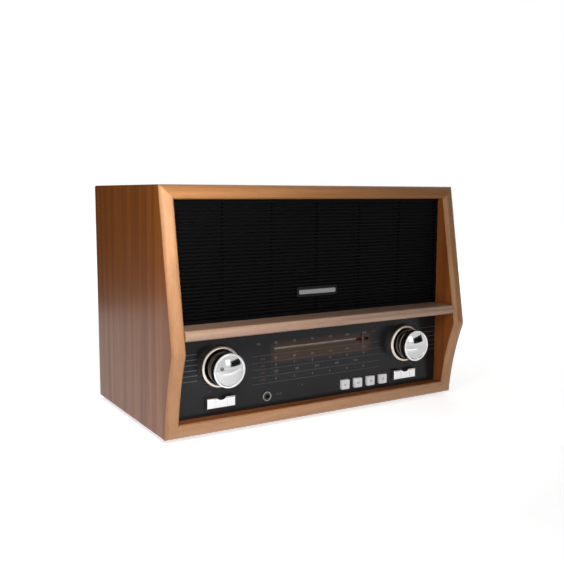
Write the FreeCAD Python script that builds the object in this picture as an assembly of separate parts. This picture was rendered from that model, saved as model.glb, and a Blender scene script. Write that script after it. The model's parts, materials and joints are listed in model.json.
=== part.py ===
"""Tabletop radio with a kinked wooden cabinet, modelled piece by piece in millimetres.

Working frame: X to the right seen from the front, Y from the cabinet's foremost line
towards the back, Z up from the underside of the cabinet. save() moves every piece to
the part's own frame, whose origin is the centre of its footprint, under the feet.
"""
import FreeCAD, Part
import math
import os

V = FreeCAD.Vector
RIGHT = V(1, 0, 0)
BACK = V(0, 1, 0)
UP = V(0, 0, 1)

# Cabinet
CAB_W = 300.0
CAB_H = 201.0
CAB_D = 180.0
BOARD = 12.0
OVERALL_D = 190.0        # with the stowed rod antenna behind the cabinet
FOOT_H = 2.5
KINK_Z = 70.5            # height of the foremost line, where the front changes slope
KINK_Y = -0.3            # corner before rounding, so that the rounded line lies at y = 0
KINK_R = 9.0
TOP_SETBACK = 21.5
BASE_SETBACK = 16.7
HOLLOW_Y = 11.0          # the lower front is slightly hollow: its depth halfway down
RIM_R = 4.0              # rounding of both arrises of the front rim
EDGE_R = 1.5             # rounding of the long outer edges
BACK_EDGE_R = 1.0
IN_X = CAB_W / 2 - BOARD
IN_Z0 = BOARD
IN_Z1 = CAB_H - BOARD
BATTEN = 12.0

# Front of the radio
PANEL_Y = 28.5           # front plane of the grille and of the dial panel
PANEL_T = 3.0
SHELF_Z0 = 80.3
SHELF_Z1 = 89.0
SHELF_Y0 = 3.0
SHELF_Y1 = 42.0
GRILLE_T = 3.5
GRILLE_BORDER = 3.0
SLATS = 31
SLAT_H = 1.7
BAFFLE_Y0 = 33.0
BAFFLE_Y1 = 39.0

# Controls
KNOB_X = 97.6
KNOB_Z = 52.8
KNOB_R = 14.25
KNOB_Y0 = 8.2            # front lip of the knobs
KNOB_Y1 = 26.0
DOME_H = 2.7             # crown of the knobs' face plates
SHAFT_R = 3.0
RUN_FIT = 0.05           # radial clearance of a turning fit
BEZEL_R = 17.6
BEZEL_IN = 15.0
BEZEL_H = 5.5
SWITCH_X = 97.5
SWITCH_Z = 23.1
SWITCH_W = 26.2
SWITCH_H = 9.3
SWITCH_TRAVEL = 4.0      # each way from the middle position
BUTTON_X0 = 29.6
BUTTON_PITCH = 14.4
BUTTON_Z = 20.9
BUTTON_W = 9.0
BUTTON_H = 8.8
BUTTON_TRAVEL = 1.0
PLUNGER_Y = 36.3         # front of the small switches' plungers behind the keys
BOARD_Y = 40.0           # front of the board that carries them
JACK_X = -52.4
JACK_Z = 21.2
JACK_R = 1.8

# Dial drive: one cord runs round the drum, over the idler and round the spindle
DIAL_Z = 61.1            # height of the slot and of the cord's upper run
SLOT_X0 = -44.5
SLOT_X1 = 56.5
SLOT_H = 2.6
POINTER_X = 49.0
RAIL_Y = 33.4
RAIL_T = 0.8
CORD_Y = 50.0
CORD_R = 0.4
CORD_GAP = 0.3
DRUM_X = -66.0
DRUM_R = 22.0            # radius of the cord's centre line on the drum
IDLER_X = 70.0
IDLER_R = 4.0
SPINDLE_R = 3.0
CHASSIS_Y = 54.0
CHASSIS_T = 1.2

# Loudspeakers
SPK_X = 68.0
SPK_Z = 139.0
SPK_HOLE_R = 35.5
SPK_FLANGE_R = 41.0
SPK_SCREW_R = 38.2

# Back
REAR_Y0 = 170.0
REAR_T = 4.0
INLET_X = 108.0
INLET_Z = 36.0
PIN_PITCH = 8.6
ANT_X = -108.0
ANT_Y = 186.0
ANT_Z = 180.0
TILT_X = ANT_X + 12.0
TUBE_X0 = ANT_X + 18.0
TUBE_L = 165.0


# ---------------------------------------------------------------- helpers

def box(x0, x1, y0, y1, z0, z1):
    return Part.makeBox(x1 - x0, y1 - y0, z1 - z0, V(x0, y0, z0))


def rod(radius, x, z, y0, y1):
    """A round bar along Y."""
    return Part.makeCylinder(radius, y1 - y0, V(x, y0, z), BACK)


def rod_x(radius, y, z, x0, x1):
    return Part.makeCylinder(radius, x1 - x0, V(x0, y, z), RIGHT)


def rod_z(radius, x, y, z0, z1):
    return Part.makeCylinder(radius, z1 - z0, V(x, y, z0), UP)


def tube(outer, inner, x, z, y0, y1):
    return rod(outer, x, z, y0, y1).cut(rod(inner, x, z, y0 - 1, y1 + 1))


def spun(points, x, z):
    """A turned piece: (radius, y) corners spun about the line along Y through x, z."""
    corners = [V(x + r, y, z) for r, y in points]
    face = Part.Face(Part.makePolygon(corners + corners[:1]))
    return face.revolve(V(x, 0, z), BACK, 360)


def joined(shapes):
    whole = shapes[0].multiFuse(shapes[1:]) if len(shapes) > 1 else shapes[0]
    return whole.removeSplitter()


def rounded(shape, radius, wanted):
    """Round the edges whose middle point satisfies wanted(x, y, z)."""
    edges = []
    for edge in shape.Edges:
        middle = edge.valueAt((edge.FirstParameter + edge.LastParameter) / 2)
        if wanted(middle.x, middle.y, middle.z):
            edges.append(edge)
    return shape.makeFillet(radius, edges)


def save(name, shape):
    solids = shape.Solids
    whole = solids[0] if len(solids) == 1 else Part.makeCompound(solids)
    placed = whole.translated(V(0, -OVERALL_D / 2, FOOT_H))
    if not placed.isValid():
        raise ValueError(name + " is not a valid solid")
    placed.exportStep("parts/" + name + ".step")


# ---------------------------------------------------------------- cabinet

def side_outline():
    """The cabinet seen from the side: leaning front, rounded kink, hollow lower front."""
    top = V(0, TOP_SETBACK, CAB_H)
    kink = V(0, KINK_Y, KINK_Z)
    foot = V(0, BASE_SETBACK, 0)
    lower = Part.Arc(kink, V(0, HOLLOW_Y, KINK_Z / 2), foot).toShape()
    upper = Part.LineSegment(top, kink).toShape()
    back = [V(0, CAB_D, 0), V(0, CAB_D, CAB_H)]
    rest = [Part.LineSegment(a, b).toShape()
            for a, b in zip([foot] + back, back + [top])]
    return Part.Face(Part.Wire([upper, lower] + rest))


def cabinet_shell():
    block = side_outline().extrude(V(CAB_W, 0, 0))
    block.translate(V(-CAB_W / 2, 0, 0))
    block = rounded(block, KINK_R, lambda x, y, z: abs(y - KINK_Y) < 0.1 and abs(x) < 1)
    hollow = box(-IN_X, IN_X, -10, CAB_D + 10, IN_Z0, IN_Z1)
    shell = block.cut(hollow)
    shell = rounded(shell, RIM_R, lambda x, y, z: y < 40)
    shell = rounded(shell, EDGE_R, lambda x, y, z: on_outside(x, z, 2) and 40 < y < CAB_D - 1)
    return rounded(shell, BACK_EDGE_R, lambda x, y, z: on_outside(x, z, 1) and y > CAB_D - 0.1)


def on_outside(x, z, walls):
    """True where a point lies on that many of the outer side, top and bottom planes."""
    gaps = [abs(abs(x) - CAB_W / 2), min(abs(z), abs(z - CAB_H))]
    return sum(gap < EDGE_R for gap in gaps) >= walls


def board_wedges():
    """Four wedges that part the shell along its mitred corners."""
    w, h = CAB_W / 2 + 1, CAB_H + 1
    cx, cz = IN_X - BOARD, BOARD * 2
    out = {"cabinet_top": [(-w, h), (w, h), (cx, CAB_H - cz), (-cx, CAB_H - cz)],
           "cabinet_bottom": [(-w, -1), (w, -1), (cx, cz), (-cx, cz)],
           "cabinet_left_side": [(-w, -1), (-w, h), (-cx, CAB_H - cz), (-cx, cz)],
           "cabinet_right_side": [(w, -1), (w, h), (cx, CAB_H - cz), (cx, cz)]}
    wedges = {}
    for name, corners in out.items():
        points = [V(x, -20, z) for x, z in corners]
        face = Part.Face(Part.makePolygon(points + points[:1]))
        wedges[name] = face.extrude(V(0, CAB_D + 40, 0))
    return wedges


def make_cabinet():
    shell = cabinet_shell()
    for name, wedge in board_wedges().items():
        save(name, shell.common(wedge))


def make_shelf():
    shelf = box(-IN_X, IN_X, SHELF_Y0, SHELF_Y1, SHELF_Z0, SHELF_Z1)
    shelf = rounded(shelf, 3.2, lambda x, y, z: y < SHELF_Y0 + 1 and abs(x) < 1)
    save("divider_shelf", shelf)


def batten_places():
    half = BATTEN / 2
    low, high = IN_Z0 + half, IN_Z1 - half
    x = IN_X - half
    return [(-x, low), (x, low), (-x, high), (x, high)]


def make_corner_blocks():
    """Battens glued into the corners: they carry the panels and take the rear screws."""
    half = BATTEN / 2
    blocks = []
    for x, z in batten_places():
        front = PANEL_Y + PANEL_T if z < CAB_H / 2 else BAFFLE_Y1
        block = box(x - half, x + half, front, REAR_Y0, z - half, z + half)
        blocks.append(block.cut(rod(1.55, x, z, REAR_Y0 - 12, REAR_Y0 + 1)))
    save("corner_blocks", Part.makeCompound(blocks))


def make_baffle():
    board = box(-IN_X, IN_X, BAFFLE_Y0, BAFFLE_Y1, SHELF_Z1, IN_Z1)
    for side in (-1, 1):
        x = side * SPK_X
        board = board.cut(rod(SPK_HOLE_R, x, SPK_Z, BAFFLE_Y0 - 1, BAFFLE_Y1 + 1))
        for sx, sz in speaker_screw_places(x):
            board = board.cut(rod(1.35, sx, sz, BAFFLE_Y1 - 5, BAFFLE_Y1 + 1))
    save("front_baffle", board)


def make_feet():
    feet = []
    for x in (-118, 118):
        for y in (48, 158):
            foot = rod_z(9.0, x, y, -FOOT_H, 0)
            feet.append(rounded(foot, 0.8, lambda px, py, pz: pz < -FOOT_H + 0.1))
    save("rubber_feet", Part.makeCompound(feet))


# ---------------------------------------------------------------- grille and badge

def make_grille():
    """A moulded frame with level slats in front and upright ribs behind them."""
    y0, y1 = PANEL_Y, PANEL_Y + GRILLE_T
    z0, z1 = SHELF_Z1, IN_Z1
    frame = box(-IN_X, IN_X, y0, y1, z0, z1)
    hole_x = IN_X - GRILLE_BORDER
    hole_z0, hole_z1 = z0 + GRILLE_BORDER, z1 - GRILLE_BORDER
    frame = frame.cut(box(-hole_x, hole_x, y0 - 1, y1 + 1, hole_z0, hole_z1))
    gap = (hole_z1 - hole_z0 - SLATS * SLAT_H) / (SLATS + 1)
    pieces = [frame]
    for k in range(SLATS):
        z = hole_z0 + gap + k * (SLAT_H + gap)
        slat = box(-hole_x - 0.5, hole_x + 0.5, y0, y0 + 2.2, z, z + SLAT_H)
        pieces.append(rounded(slat, 0.7, lambda px, py, pz: py < y0 + 0.1 and abs(px) < 1))
    for x in (-92, -46, 0, 46, 92):
        pieces.append(box(x - 0.75, x + 0.75, y0 + 2.0, y1, hole_z0 - 0.5, hole_z1 + 0.5))
    save("speaker_grille", joined(pieces))


def make_grille_cloth():
    y = PANEL_Y + GRILLE_T
    save("grille_cloth", box(-IN_X + 1, IN_X - 1, y, y + 0.6, SHELF_Z1 + 1, IN_Z1 - 1))


def make_badge():
    """A blank plate on the slats, with a plain raised bar."""
    y = PANEL_Y
    plate = box(-22.6, 19.6, y - 1.2, y, 104.4, 113.4)
    plate = rounded(plate, 1.5, lambda px, py, pz: abs(py - y + 0.6) < 0.1)
    bar = box(-20.6, 17.6, y - 1.7, y - 1.0, 107.0, 110.9)
    save("badge_plate", joined([plate, bar]))


# ---------------------------------------------------------------- dial panel

def make_dial_panel():
    y0, y1 = PANEL_Y, PANEL_Y + PANEL_T
    panel = box(-IN_X, IN_X, y0, y1, IN_Z0, SHELF_Z0)
    half_slot = 2.2 + SWITCH_TRAVEL
    cuts = [box(SLOT_X0, SLOT_X1, y0 - 1, y1 + 1, DIAL_Z - SLOT_H / 2, DIAL_Z + SLOT_H / 2),
            rod(3.0, JACK_X, JACK_Z, y0 - 1, y1 + 1)]
    for side in (-1, 1):
        cuts.append(rod(3.6, side * KNOB_X, KNOB_Z, y0 - 1, y1 + 1))
        x = side * SWITCH_X
        cuts.append(box(x - half_slot, x + half_slot, y0 - 1, y1 + 1, SWITCH_Z - 2, SWITCH_Z + 2))
    for x in button_places():
        w, h = BUTTON_W / 2 + 0.3, BUTTON_H / 2 + 0.3
        cuts.append(box(x - w, x + w, y0 - 1, y1 + 1, BUTTON_Z - h, BUTTON_Z + h))
    for cut in cuts:
        panel = panel.cut(cut)
    save("dial_panel", panel)


def make_pointer_rail():
    """A flat strip behind the slot, with a lug at each end against the panel."""
    x0, x1 = SLOT_X0 - 9, SLOT_X1 + 9
    z0, z1 = DIAL_Z - 2.3, DIAL_Z + 2.3
    strip = box(x0, x1, RAIL_Y, RAIL_Y + RAIL_T, z0, z1)
    lugs = [box(x, x + 4, PANEL_Y + PANEL_T, RAIL_Y, z0, z1) for x in (x0, x1 - 4)]
    save("pointer_rail", joined([strip] + lugs))


def make_pointer():
    """The needle in front of the panel, its neck in the slot and a clip round the rail."""
    x = POINTER_X
    front = PANEL_Y - 1.2
    clip_y0, clip_y1 = PANEL_Y + PANEL_T + 0.5, RAIL_Y + RAIL_T + 1.4
    needle = box(x - 0.7, x + 0.7, front, front + 0.7, DIAL_Z - 4.6, DIAL_Z + 4.6)
    neck = box(x - 0.8, x + 0.8, front, clip_y0 + 0.4, DIAL_Z - 0.8, DIAL_Z + 0.8)
    clip = box(x - 3, x + 3, clip_y0, clip_y1, DIAL_Z - 3.6, DIAL_Z + 3.6)
    room = box(x - 4, x + 4, RAIL_Y - 0.5, RAIL_Y + RAIL_T + 0.5, DIAL_Z - 2.7, DIAL_Z + 2.7)
    arm = box(x - 1.5, x + 1.5, clip_y1 - 0.2, CORD_Y + 1.6, DIAL_Z - 1.4, DIAL_Z + 1.4)
    arm = arm.cut(rod_x(CORD_R + 0.4, CORD_Y, DIAL_Z, x - 3, x + 3))
    save("dial_pointer", joined([needle, neck, clip.cut(room), arm]))


# ---------------------------------------------------------------- dial drive

def drum_z():
    return DIAL_Z - DRUM_R


def idler_z():
    return DIAL_Z - IDLER_R


def tangent_angle(a, ra, b, rb, side):
    """Direction, from both centres, of the points where an outer tangent touches."""
    dx, dz = b[0] - a[0], b[1] - a[1]
    return math.atan2(dz, dx) + side * math.acos((ra - rb) / math.hypot(dx, dz))


def on_circle(centre, radius, angle):
    return V(centre[0] + radius * math.cos(angle), CORD_Y, centre[1] + radius * math.sin(angle))


def make_dial_cord():
    """One closed loop: drum, upper run, idler, spindle, lower run."""
    drum, idler, spindle = (DRUM_X, drum_z()), (IDLER_X, idler_z()), (KNOB_X, KNOB_Z)
    over = tangent_angle(idler, IDLER_R, spindle, SPINDLE_R, 1)
    under = tangent_angle(drum, DRUM_R, spindle, SPINDLE_R, -1)
    top = math.pi / 2
    rim = (over + under) / 2
    wrap = (top + under + 2 * math.pi) / 2
    drum_top, drum_low = on_circle(drum, DRUM_R, top), on_circle(drum, DRUM_R, under)
    idler_top, idler_end = on_circle(idler, IDLER_R, top), on_circle(idler, IDLER_R, over)
    spin_top, spin_low = on_circle(spindle, SPINDLE_R, over), on_circle(spindle, SPINDLE_R, under)
    edges = [Part.LineSegment(drum_top, idler_top),
             Part.Arc(idler_top, on_circle(idler, IDLER_R, (top + over) / 2), idler_end),
             Part.LineSegment(idler_end, spin_top),
             Part.Arc(spin_top, on_circle(spindle, SPINDLE_R, rim), spin_low),
             Part.LineSegment(spin_low, drum_low),
             Part.Arc(drum_low, on_circle(drum, DRUM_R, wrap), drum_top)]
    loop = Part.Wire([edge.toShape() for edge in edges])
    outer = Part.Face(loop.makeOffset2D(CORD_R))
    inner = Part.Face(loop.makeOffset2D(-CORD_R))
    ring = outer.extrude(BACK * CORD_R * 2).cut(inner.extrude(BACK * CORD_R * 2))
    save("dial_cord", ring.translated(V(0, -CORD_R, 0)))


def grooved_wheel(x, z, cord_radius, bore, half=1.9, flange=1.2):
    groove = cord_radius - CORD_R - CORD_GAP
    rim = cord_radius + flange
    outline = [(bore, CORD_Y - half), (rim, CORD_Y - half), (rim, CORD_Y - half + 0.8),
               (groove, CORD_Y - 0.8), (groove, CORD_Y + 0.8), (rim, CORD_Y + half - 0.8),
               (rim, CORD_Y + half), (bore, CORD_Y + half)]
    return spun(outline, x, z)


def make_idler():
    save("idler_pulley", grooved_wheel(IDLER_X, idler_z(), IDLER_R, 1.5 + RUN_FIT))


def make_drum():
    """The drum is moulded with the spigot that turns the tuning potentiometer."""
    wheel = grooved_wheel(DRUM_X, drum_z(), DRUM_R, SHAFT_R - 1)
    for k in range(6):
        angle = math.radians(60 * k + 30)
        x = DRUM_X + 12.5 * math.cos(angle)
        z = drum_z() + 12.5 * math.sin(angle)
        wheel = wheel.cut(rod(4.2, x, z, CORD_Y - 5, CORD_Y + 5))
    spigot = rod(SHAFT_R, DRUM_X, drum_z(), CORD_Y - 2.5, CHASSIS_Y + 7)
    save("tuning_drum", joined([wheel, spigot]))


def make_tuning_potentiometer():
    y0 = CHASSIS_Y + CHASSIS_T
    body = rod(8.5, DRUM_X, drum_z(), y0, y0 + 9)
    nose = rod(3.6, DRUM_X, drum_z(), CHASSIS_Y - 0.6, y0 + 1)
    tabs = box(DRUM_X - 6, DRUM_X + 6, y0 + 3, y0 + 5, drum_z() - 13, drum_z() - 6)
    bore = rod(SHAFT_R + RUN_FIT, DRUM_X, drum_z(), CHASSIS_Y - 2, CHASSIS_Y + 7.3)
    save("tuning_potentiometer", joined([body, nose, tabs]).cut(bore))


def make_dial_chassis():
    """A folded steel plate that carries the potentiometer, idler pin and spindle end."""
    y0, y1 = CHASSIS_Y, CHASSIS_Y + CHASSIS_T
    plate = box(-90, 112, y0, y1, IN_Z0, 66)
    foot = box(-90, 112, y0, y0 + 14, IN_Z0, IN_Z0 + CHASSIS_T)
    pin = rod(1.5, IDLER_X, idler_z(), CORD_Y - 3, y0 + 0.5)
    head = rod(2.6, IDLER_X, idler_z(), CORD_Y - 3.4, CORD_Y - 2.4)
    collar = rod(2.6, IDLER_X, idler_z(), CORD_Y + 2.3, y0 + 0.5)
    holes = [rod(3.6, DRUM_X, drum_z(), y0 - 1, y1 + 1),
             rod(SHAFT_R + RUN_FIT, KNOB_X, KNOB_Z, y0 - 1, y1 + 1),
             box(-30, 55, y0 - 1, y1 + 1, 22, 50)]
    chassis = joined([plate, foot, pin, head, collar])
    for hole in holes:
        chassis = chassis.cut(hole)
    save("dial_chassis", chassis)


def make_spindle():
    """The tuning spindle with its cord groove between two collars."""
    y_end = CHASSIS_Y + CHASSIS_T + 2
    groove = SPINDLE_R - CORD_R - CORD_GAP
    outline = [(0, KNOB_Y0 + 4.2), (SHAFT_R, KNOB_Y0 + 4.2), (SHAFT_R, CORD_Y - 2.0),
               (4.6, CORD_Y - 2.0), (4.6, CORD_Y - 1.2), (groove, CORD_Y - 1.0),
               (groove, CORD_Y + 1.0), (4.6, CORD_Y + 1.2), (4.6, CORD_Y + 2.0),
               (SHAFT_R, CORD_Y + 2.0), (SHAFT_R, y_end), (0, y_end)]
    save("tuning_spindle", spun(outline, KNOB_X, KNOB_Z))


def make_tuning_bushing():
    """A threaded bush through the panel, with its nut in front and shoulder behind."""
    y0, y1 = PANEL_Y, PANEL_Y + PANEL_T
    r = SHAFT_R + RUN_FIT
    outline = [(r, 25.2), (3.6, 25.2), (3.6, y0 - 2.0), (6.0, y0 - 2.0), (6.0, y0), (3.6, y0),
               (3.6, y1), (7.0, y1), (7.0, y1 + 2.5), (4.6, y1 + 2.5), (4.6, 42), (r, 42)]
    save("tuning_bushing", spun(outline, KNOB_X, KNOB_Z))


# ---------------------------------------------------------------- knobs

def make_knob(name, x):
    """A turned shell with a hub for the shaft, and a seat in front for its face plate."""
    y0, y1 = KNOB_Y0, KNOB_Y1
    outline = [(SHAFT_R, y0 + 4.2), (SHAFT_R, 24.0), (5.2, 24.0), (5.2, y0 + 6.5),
               (12.6, y0 + 6.5), (12.6, y1), (KNOB_R - 0.5, y1), (KNOB_R - 0.5, y0 + 8.4),
               (KNOB_R - 0.9, y0 + 8.0), (KNOB_R - 0.9, y0 + 7.2), (KNOB_R, y0 + 6.8),
               (KNOB_R, y0 + 1.0), (KNOB_R - 0.4, y0 + 0.3), (KNOB_R - 1.0, y0),
               (KNOB_R - 1.7, y0 + 0.3), (KNOB_R - 2.0, y0 + 0.8), (KNOB_R - 2.0, y0 + 2.6),
               (0, y0 + 2.6), (0, y0 + 4.2)]
    save(name, spun(outline, x, KNOB_Z))


def domed_face(x):
    """A thin spun plate whose face is a shallow spherical dome."""
    r = KNOB_R - 2.0
    y_rim, y_back = KNOB_Y0 + 0.6, KNOB_Y0 + 2.6
    y_crown = y_rim - DOME_H
    radius = dome_radius()
    half = math.asin(r / radius) / 2
    middle = V(x + radius * math.sin(half), y_crown + radius * (1 - math.cos(half)), KNOB_Z)
    dome = Part.Arc(V(x + r, y_rim, KNOB_Z), middle, V(x, y_crown, KNOB_Z)).toShape()
    corners = [V(x, y_crown, KNOB_Z), V(x, y_back, KNOB_Z), V(x + r, y_back, KNOB_Z),
               V(x + r, y_rim, KNOB_Z)]
    sides = [Part.LineSegment(a, b).toShape() for a, b in zip(corners, corners[1:])]
    return Part.Face(Part.Wire([dome] + sides)).revolve(V(x, 0, KNOB_Z), BACK, 360)


def dome_radius():
    r = KNOB_R - 2.0
    return (r * r + DOME_H * DOME_H) / (2 * DOME_H)


def make_knob_caps():
    """The volume cap has a dimple that marks its position."""
    angle, reach = math.radians(162), 8.2
    x = -KNOB_X + reach * math.cos(angle)
    z = KNOB_Z + reach * math.sin(angle)
    sink = dome_radius() - math.sqrt(dome_radius() ** 2 - reach ** 2)
    dimple = Part.makeSphere(1.9, V(x, KNOB_Y0 + 0.6 - DOME_H + sink - 1.1, z))
    save("volume_knob_cap", domed_face(-KNOB_X).cut(dimple))
    save("tuning_knob_cap", domed_face(KNOB_X))


def make_bezel(name, x):
    """A raised ring on the panel: a rounded crest with a small inner step."""
    y1 = PANEL_Y
    y0 = y1 - BEZEL_H
    ring = spun([(BEZEL_IN, y1), (BEZEL_IN, y0 + 1.4), (BEZEL_IN + 0.7, y0 + 1.4),
                 (BEZEL_IN + 0.7, y0), (BEZEL_R, y0), (BEZEL_R, y1)], x, KNOB_Z)
    ring = rounded(ring, 0.85, lambda px, py, pz: abs(py - y0) < 0.05)
    save(name, ring)


def make_volume_control():
    """The potentiometer behind the panel, its threaded bush, and the turning shaft."""
    x, z = -KNOB_X, KNOB_Z
    y1 = PANEL_Y + PANEL_T
    outline = [(SHAFT_R + RUN_FIT, 25.2), (3.6, 25.2), (3.6, PANEL_Y - 2), (6, PANEL_Y - 2),
               (6, PANEL_Y), (3.6, PANEL_Y), (3.6, y1), (8.6, y1), (8.6, 42), (0, 42),
               (0, 40.6), (SHAFT_R + RUN_FIT, 40.6)]
    tabs = box(x - 6, x + 6, y1 + 5, y1 + 7, z - 13, z - 7)
    body = joined([spun(outline, x, z), tabs])
    save("volume_potentiometer", body)
    save("volume_shaft", rod(SHAFT_R, x, z, KNOB_Y0 + 4.2, 40.3))


# ---------------------------------------------------------------- switches and buttons

def make_slide_switch(name, x):
    """A bright slider with a finger scoop, its stem, and the switch behind the panel."""
    y0, y1 = 23.6, PANEL_Y - 0.6
    w, h = SWITCH_W / 2, SWITCH_H / 2
    z = SWITCH_Z
    cap = box(x - w, x + w, y0, y1, z - h, z + h)
    cap = rounded(cap, 1.4, lambda px, py, pz: py < y0 + 0.1)
    scoop = rod(5.4, x, z + h + 3.2, y0 - 1, y1 + 1)
    for side in (-1, 1):
        groove = box(x + side * 5.4 - 0.35, x + side * 5.4 + 0.35, y0 - 1, y0 + 0.6,
                     z - h - 1, z + h + 1)
        cap = cap.cut(groove)
    stem = box(x - 2, x + 2, y1 - 0.5, 37.0, z - 1.6, z + 1.6)
    save(name + "_cap", joined([cap.cut(scoop), stem]))
    back = PANEL_Y + PANEL_T
    body = box(x - 11, x + 11, back, BOARD_Y, z - 5, z + 5)
    room = 2.3 + SWITCH_TRAVEL
    body = body.cut(box(x - room, x + room, back - 1, 37.6, z - 2, z + 2))
    save(name + "_body", body)


def button_places():
    return [BUTTON_X0 + BUTTON_PITCH * k for k in range(4)]


def make_buttons():
    z = BUTTON_Z
    back = PANEL_Y + PANEL_T
    w, h = BUTTON_W / 2, BUTTON_H / 2
    for number, x in enumerate(button_places(), start=1):
        key = box(x - w, x + w, PANEL_Y - 2.5, back + 0.5, z - h, z + h)
        key = rounded(key, 0.9, lambda px, py, pz: abs(px - x) > w - 0.1 and abs(pz - z) > h - 0.1)
        key = rounded(key, 0.6, lambda px, py, pz: py < PANEL_Y - 2.45)
        flange = box(x - w - 0.9, x + w + 0.9, back + 0.4, back + 1.4, z - h - 0.8, z + h + 0.8)
        stem = rod(2.0, x, z, back + 1.2, PLUNGER_Y - BUTTON_TRAVEL - 0.2)
        save("button_%d" % number, joined([key, flange, stem]))
    switches = []
    for x in button_places():
        body = box(x - 3.1, x + 3.1, PLUNGER_Y + 1.1, BOARD_Y, z - 3.1, z + 3.1)
        switches.append(joined([body, rod(1.7, x, z, PLUNGER_Y, PLUNGER_Y + 1.3)]))
    save("tact_switches", Part.makeCompound(switches))


def make_control_board():
    board = box(18, 120, BOARD_Y, BOARD_Y + 1.6, IN_Z0 + 0.5, 33)
    save("control_board", board)


def make_jack():
    """A 3.5 mm socket: square body, threaded nose and one straight bore."""
    back = PANEL_Y + PANEL_T
    body = box(JACK_X - 4.5, JACK_X + 4.5, back, 44.0, JACK_Z - 4.5, JACK_Z + 4.5)
    nose = rod(3.0, JACK_X, JACK_Z, PANEL_Y - 1.8, back + 0.5)
    bore = rod(JACK_R, JACK_X, JACK_Z, PANEL_Y - 3, 42.0)
    save("aux_jack", joined([body, nose]).cut(bore))
    ring = tube(4.3, 3.0, JACK_X, JACK_Z, PANEL_Y - 1.5, PANEL_Y)
    ring = rounded(ring, 0.5, lambda px, py, pz: py < PANEL_Y - 1.45)
    save("aux_jack_ring", ring)


# ---------------------------------------------------------------- loudspeakers

def speaker_screw_places(x):
    out = []
    for k in range(4):
        angle = math.radians(45 + 90 * k)
        out.append((x + SPK_SCREW_R * math.cos(angle), SPK_Z + SPK_SCREW_R * math.sin(angle)))
    return out


def make_speaker(side_name, x):
    """A pressed basket with four windows, a paper cone on a rolled edge, and a magnet."""
    y = BAFFLE_Y1
    z = SPK_Z
    shell = spun([(31.5, y), (SPK_FLANGE_R, y), (SPK_FLANGE_R, y + 1.2), (33.0, y + 1.2),
                  (33.0, y + 5.0), (20.0, y + 19.0), (20.0, y + 22.0), (11.0, y + 22.0),
                  (11.0, y + 20.6), (18.6, y + 20.6), (18.6, y + 18.4), (31.5, y + 4.6)], x, z)
    for k in range(4):
        angle = 90 * k
        window = box(x - 8.5, x + 8.5, y + 5.5, y + 18, z + 15, z + 40)
        shell = shell.cut(window.rotated(V(x, 0, z), BACK, angle))
    for sx, sz in speaker_screw_places(x):
        shell = shell.cut(rod(1.6, sx, sz, y - 1, y + 3))
    save(side_name + "_speaker_frame", shell)
    cone = spun([(31.2, y + 0.2), (31.2, y + 1.0), (29.4, y + 1.0), (28.4, y - 0.4),
                 (27.2, y - 0.8), (26.2, y + 0.4), (25.4, y + 2.0), (9.6, y + 14.6),
                 (9.6, y + 20.0), (8.8, y + 20.0), (8.8, y + 13.0), (5.6, y + 11.0),
                 (0, y + 10.0), (0, y + 9.3), (6.0, y + 10.3), (9.4, y + 12.6),
                 (24.8, y + 0.9), (25.8, y - 1.2), (27.2, y - 1.9), (28.8, y - 1.4),
                 (30.0, y + 0.2)], x, z)
    save(side_name + "_speaker_cone", cone)
    magnet = spun([(0, y + 22.0), (19.0, y + 22.0), (19.0, y + 25.0), (22.5, y + 25.0),
                   (22.5, y + 34.0), (19.0, y + 34.0), (19.0, y + 37.0), (0, y + 37.0)], x, z)
    save(side_name + "_speaker_magnet", magnet)


def make_speaker_screws():
    screws = []
    for side in (-1, 1):
        for sx, sz in speaker_screw_places(side * SPK_X):
            shank = rod(1.35, sx, sz, BAFFLE_Y1 - 5, BAFFLE_Y1 + 1.3)
            head = rod(2.8, sx, sz, BAFFLE_Y1 + 1.2, BAFFLE_Y1 + 2.8)
            head = head.cut(box(sx - 4, sx + 4, BAFFLE_Y1 + 2.2, BAFFLE_Y1 + 4, sz - 0.4, sz + 0.4))
            screws.append(joined([shank, head]))
    save("speaker_screws", Part.makeCompound(screws))


# ---------------------------------------------------------------- inside

def make_main_board():
    """The amplifier board, with its spacers and the parts soldered on top."""
    z0 = IN_Z0 + 7
    x0, x1, y0, y1 = -42, 62, 84, 156
    board = box(x0, x1, y0, y1, z0, z0 + 1.6)
    save("main_board", board)
    parts = [rod_z(3.5, x, y, IN_Z0, z0) for x in (x0 + 6, x1 - 6) for y in (y0 + 6, y1 - 6)]
    top = z0 + 1.6
    fins = [box(-34, -8, 92, 95, top, top + 34)]
    fins += [box(-34 + 5.2 * k, -32.4 + 5.2 * k, 94, 108, top, top + 34) for k in range(5)]
    parts.append(joined(fins))
    for x, y, r, h in ((10, 98, 8, 25), (32, 98, 8, 25), (46, 120, 6.5, 18), (-26, 140, 5, 12),
                       (-10, 146, 5, 12), (50, 144, 6.5, 14)):
        parts.append(rounded(rod_z(r, x, y, top, top + h), 0.8,
                             lambda px, py, pz: pz > top + 1))
    for x, y, dx, dy, h in ((-30, 112, 20, 10, 4), (2, 116, 14, 14, 2.5), (4, 138, 26, 9, 11),
                            (22, 116, 12, 12, 3)):
        parts.append(box(x, x + dx, y, y + dy, top, top + h))
    save("board_components", Part.makeCompound(parts))


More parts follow.
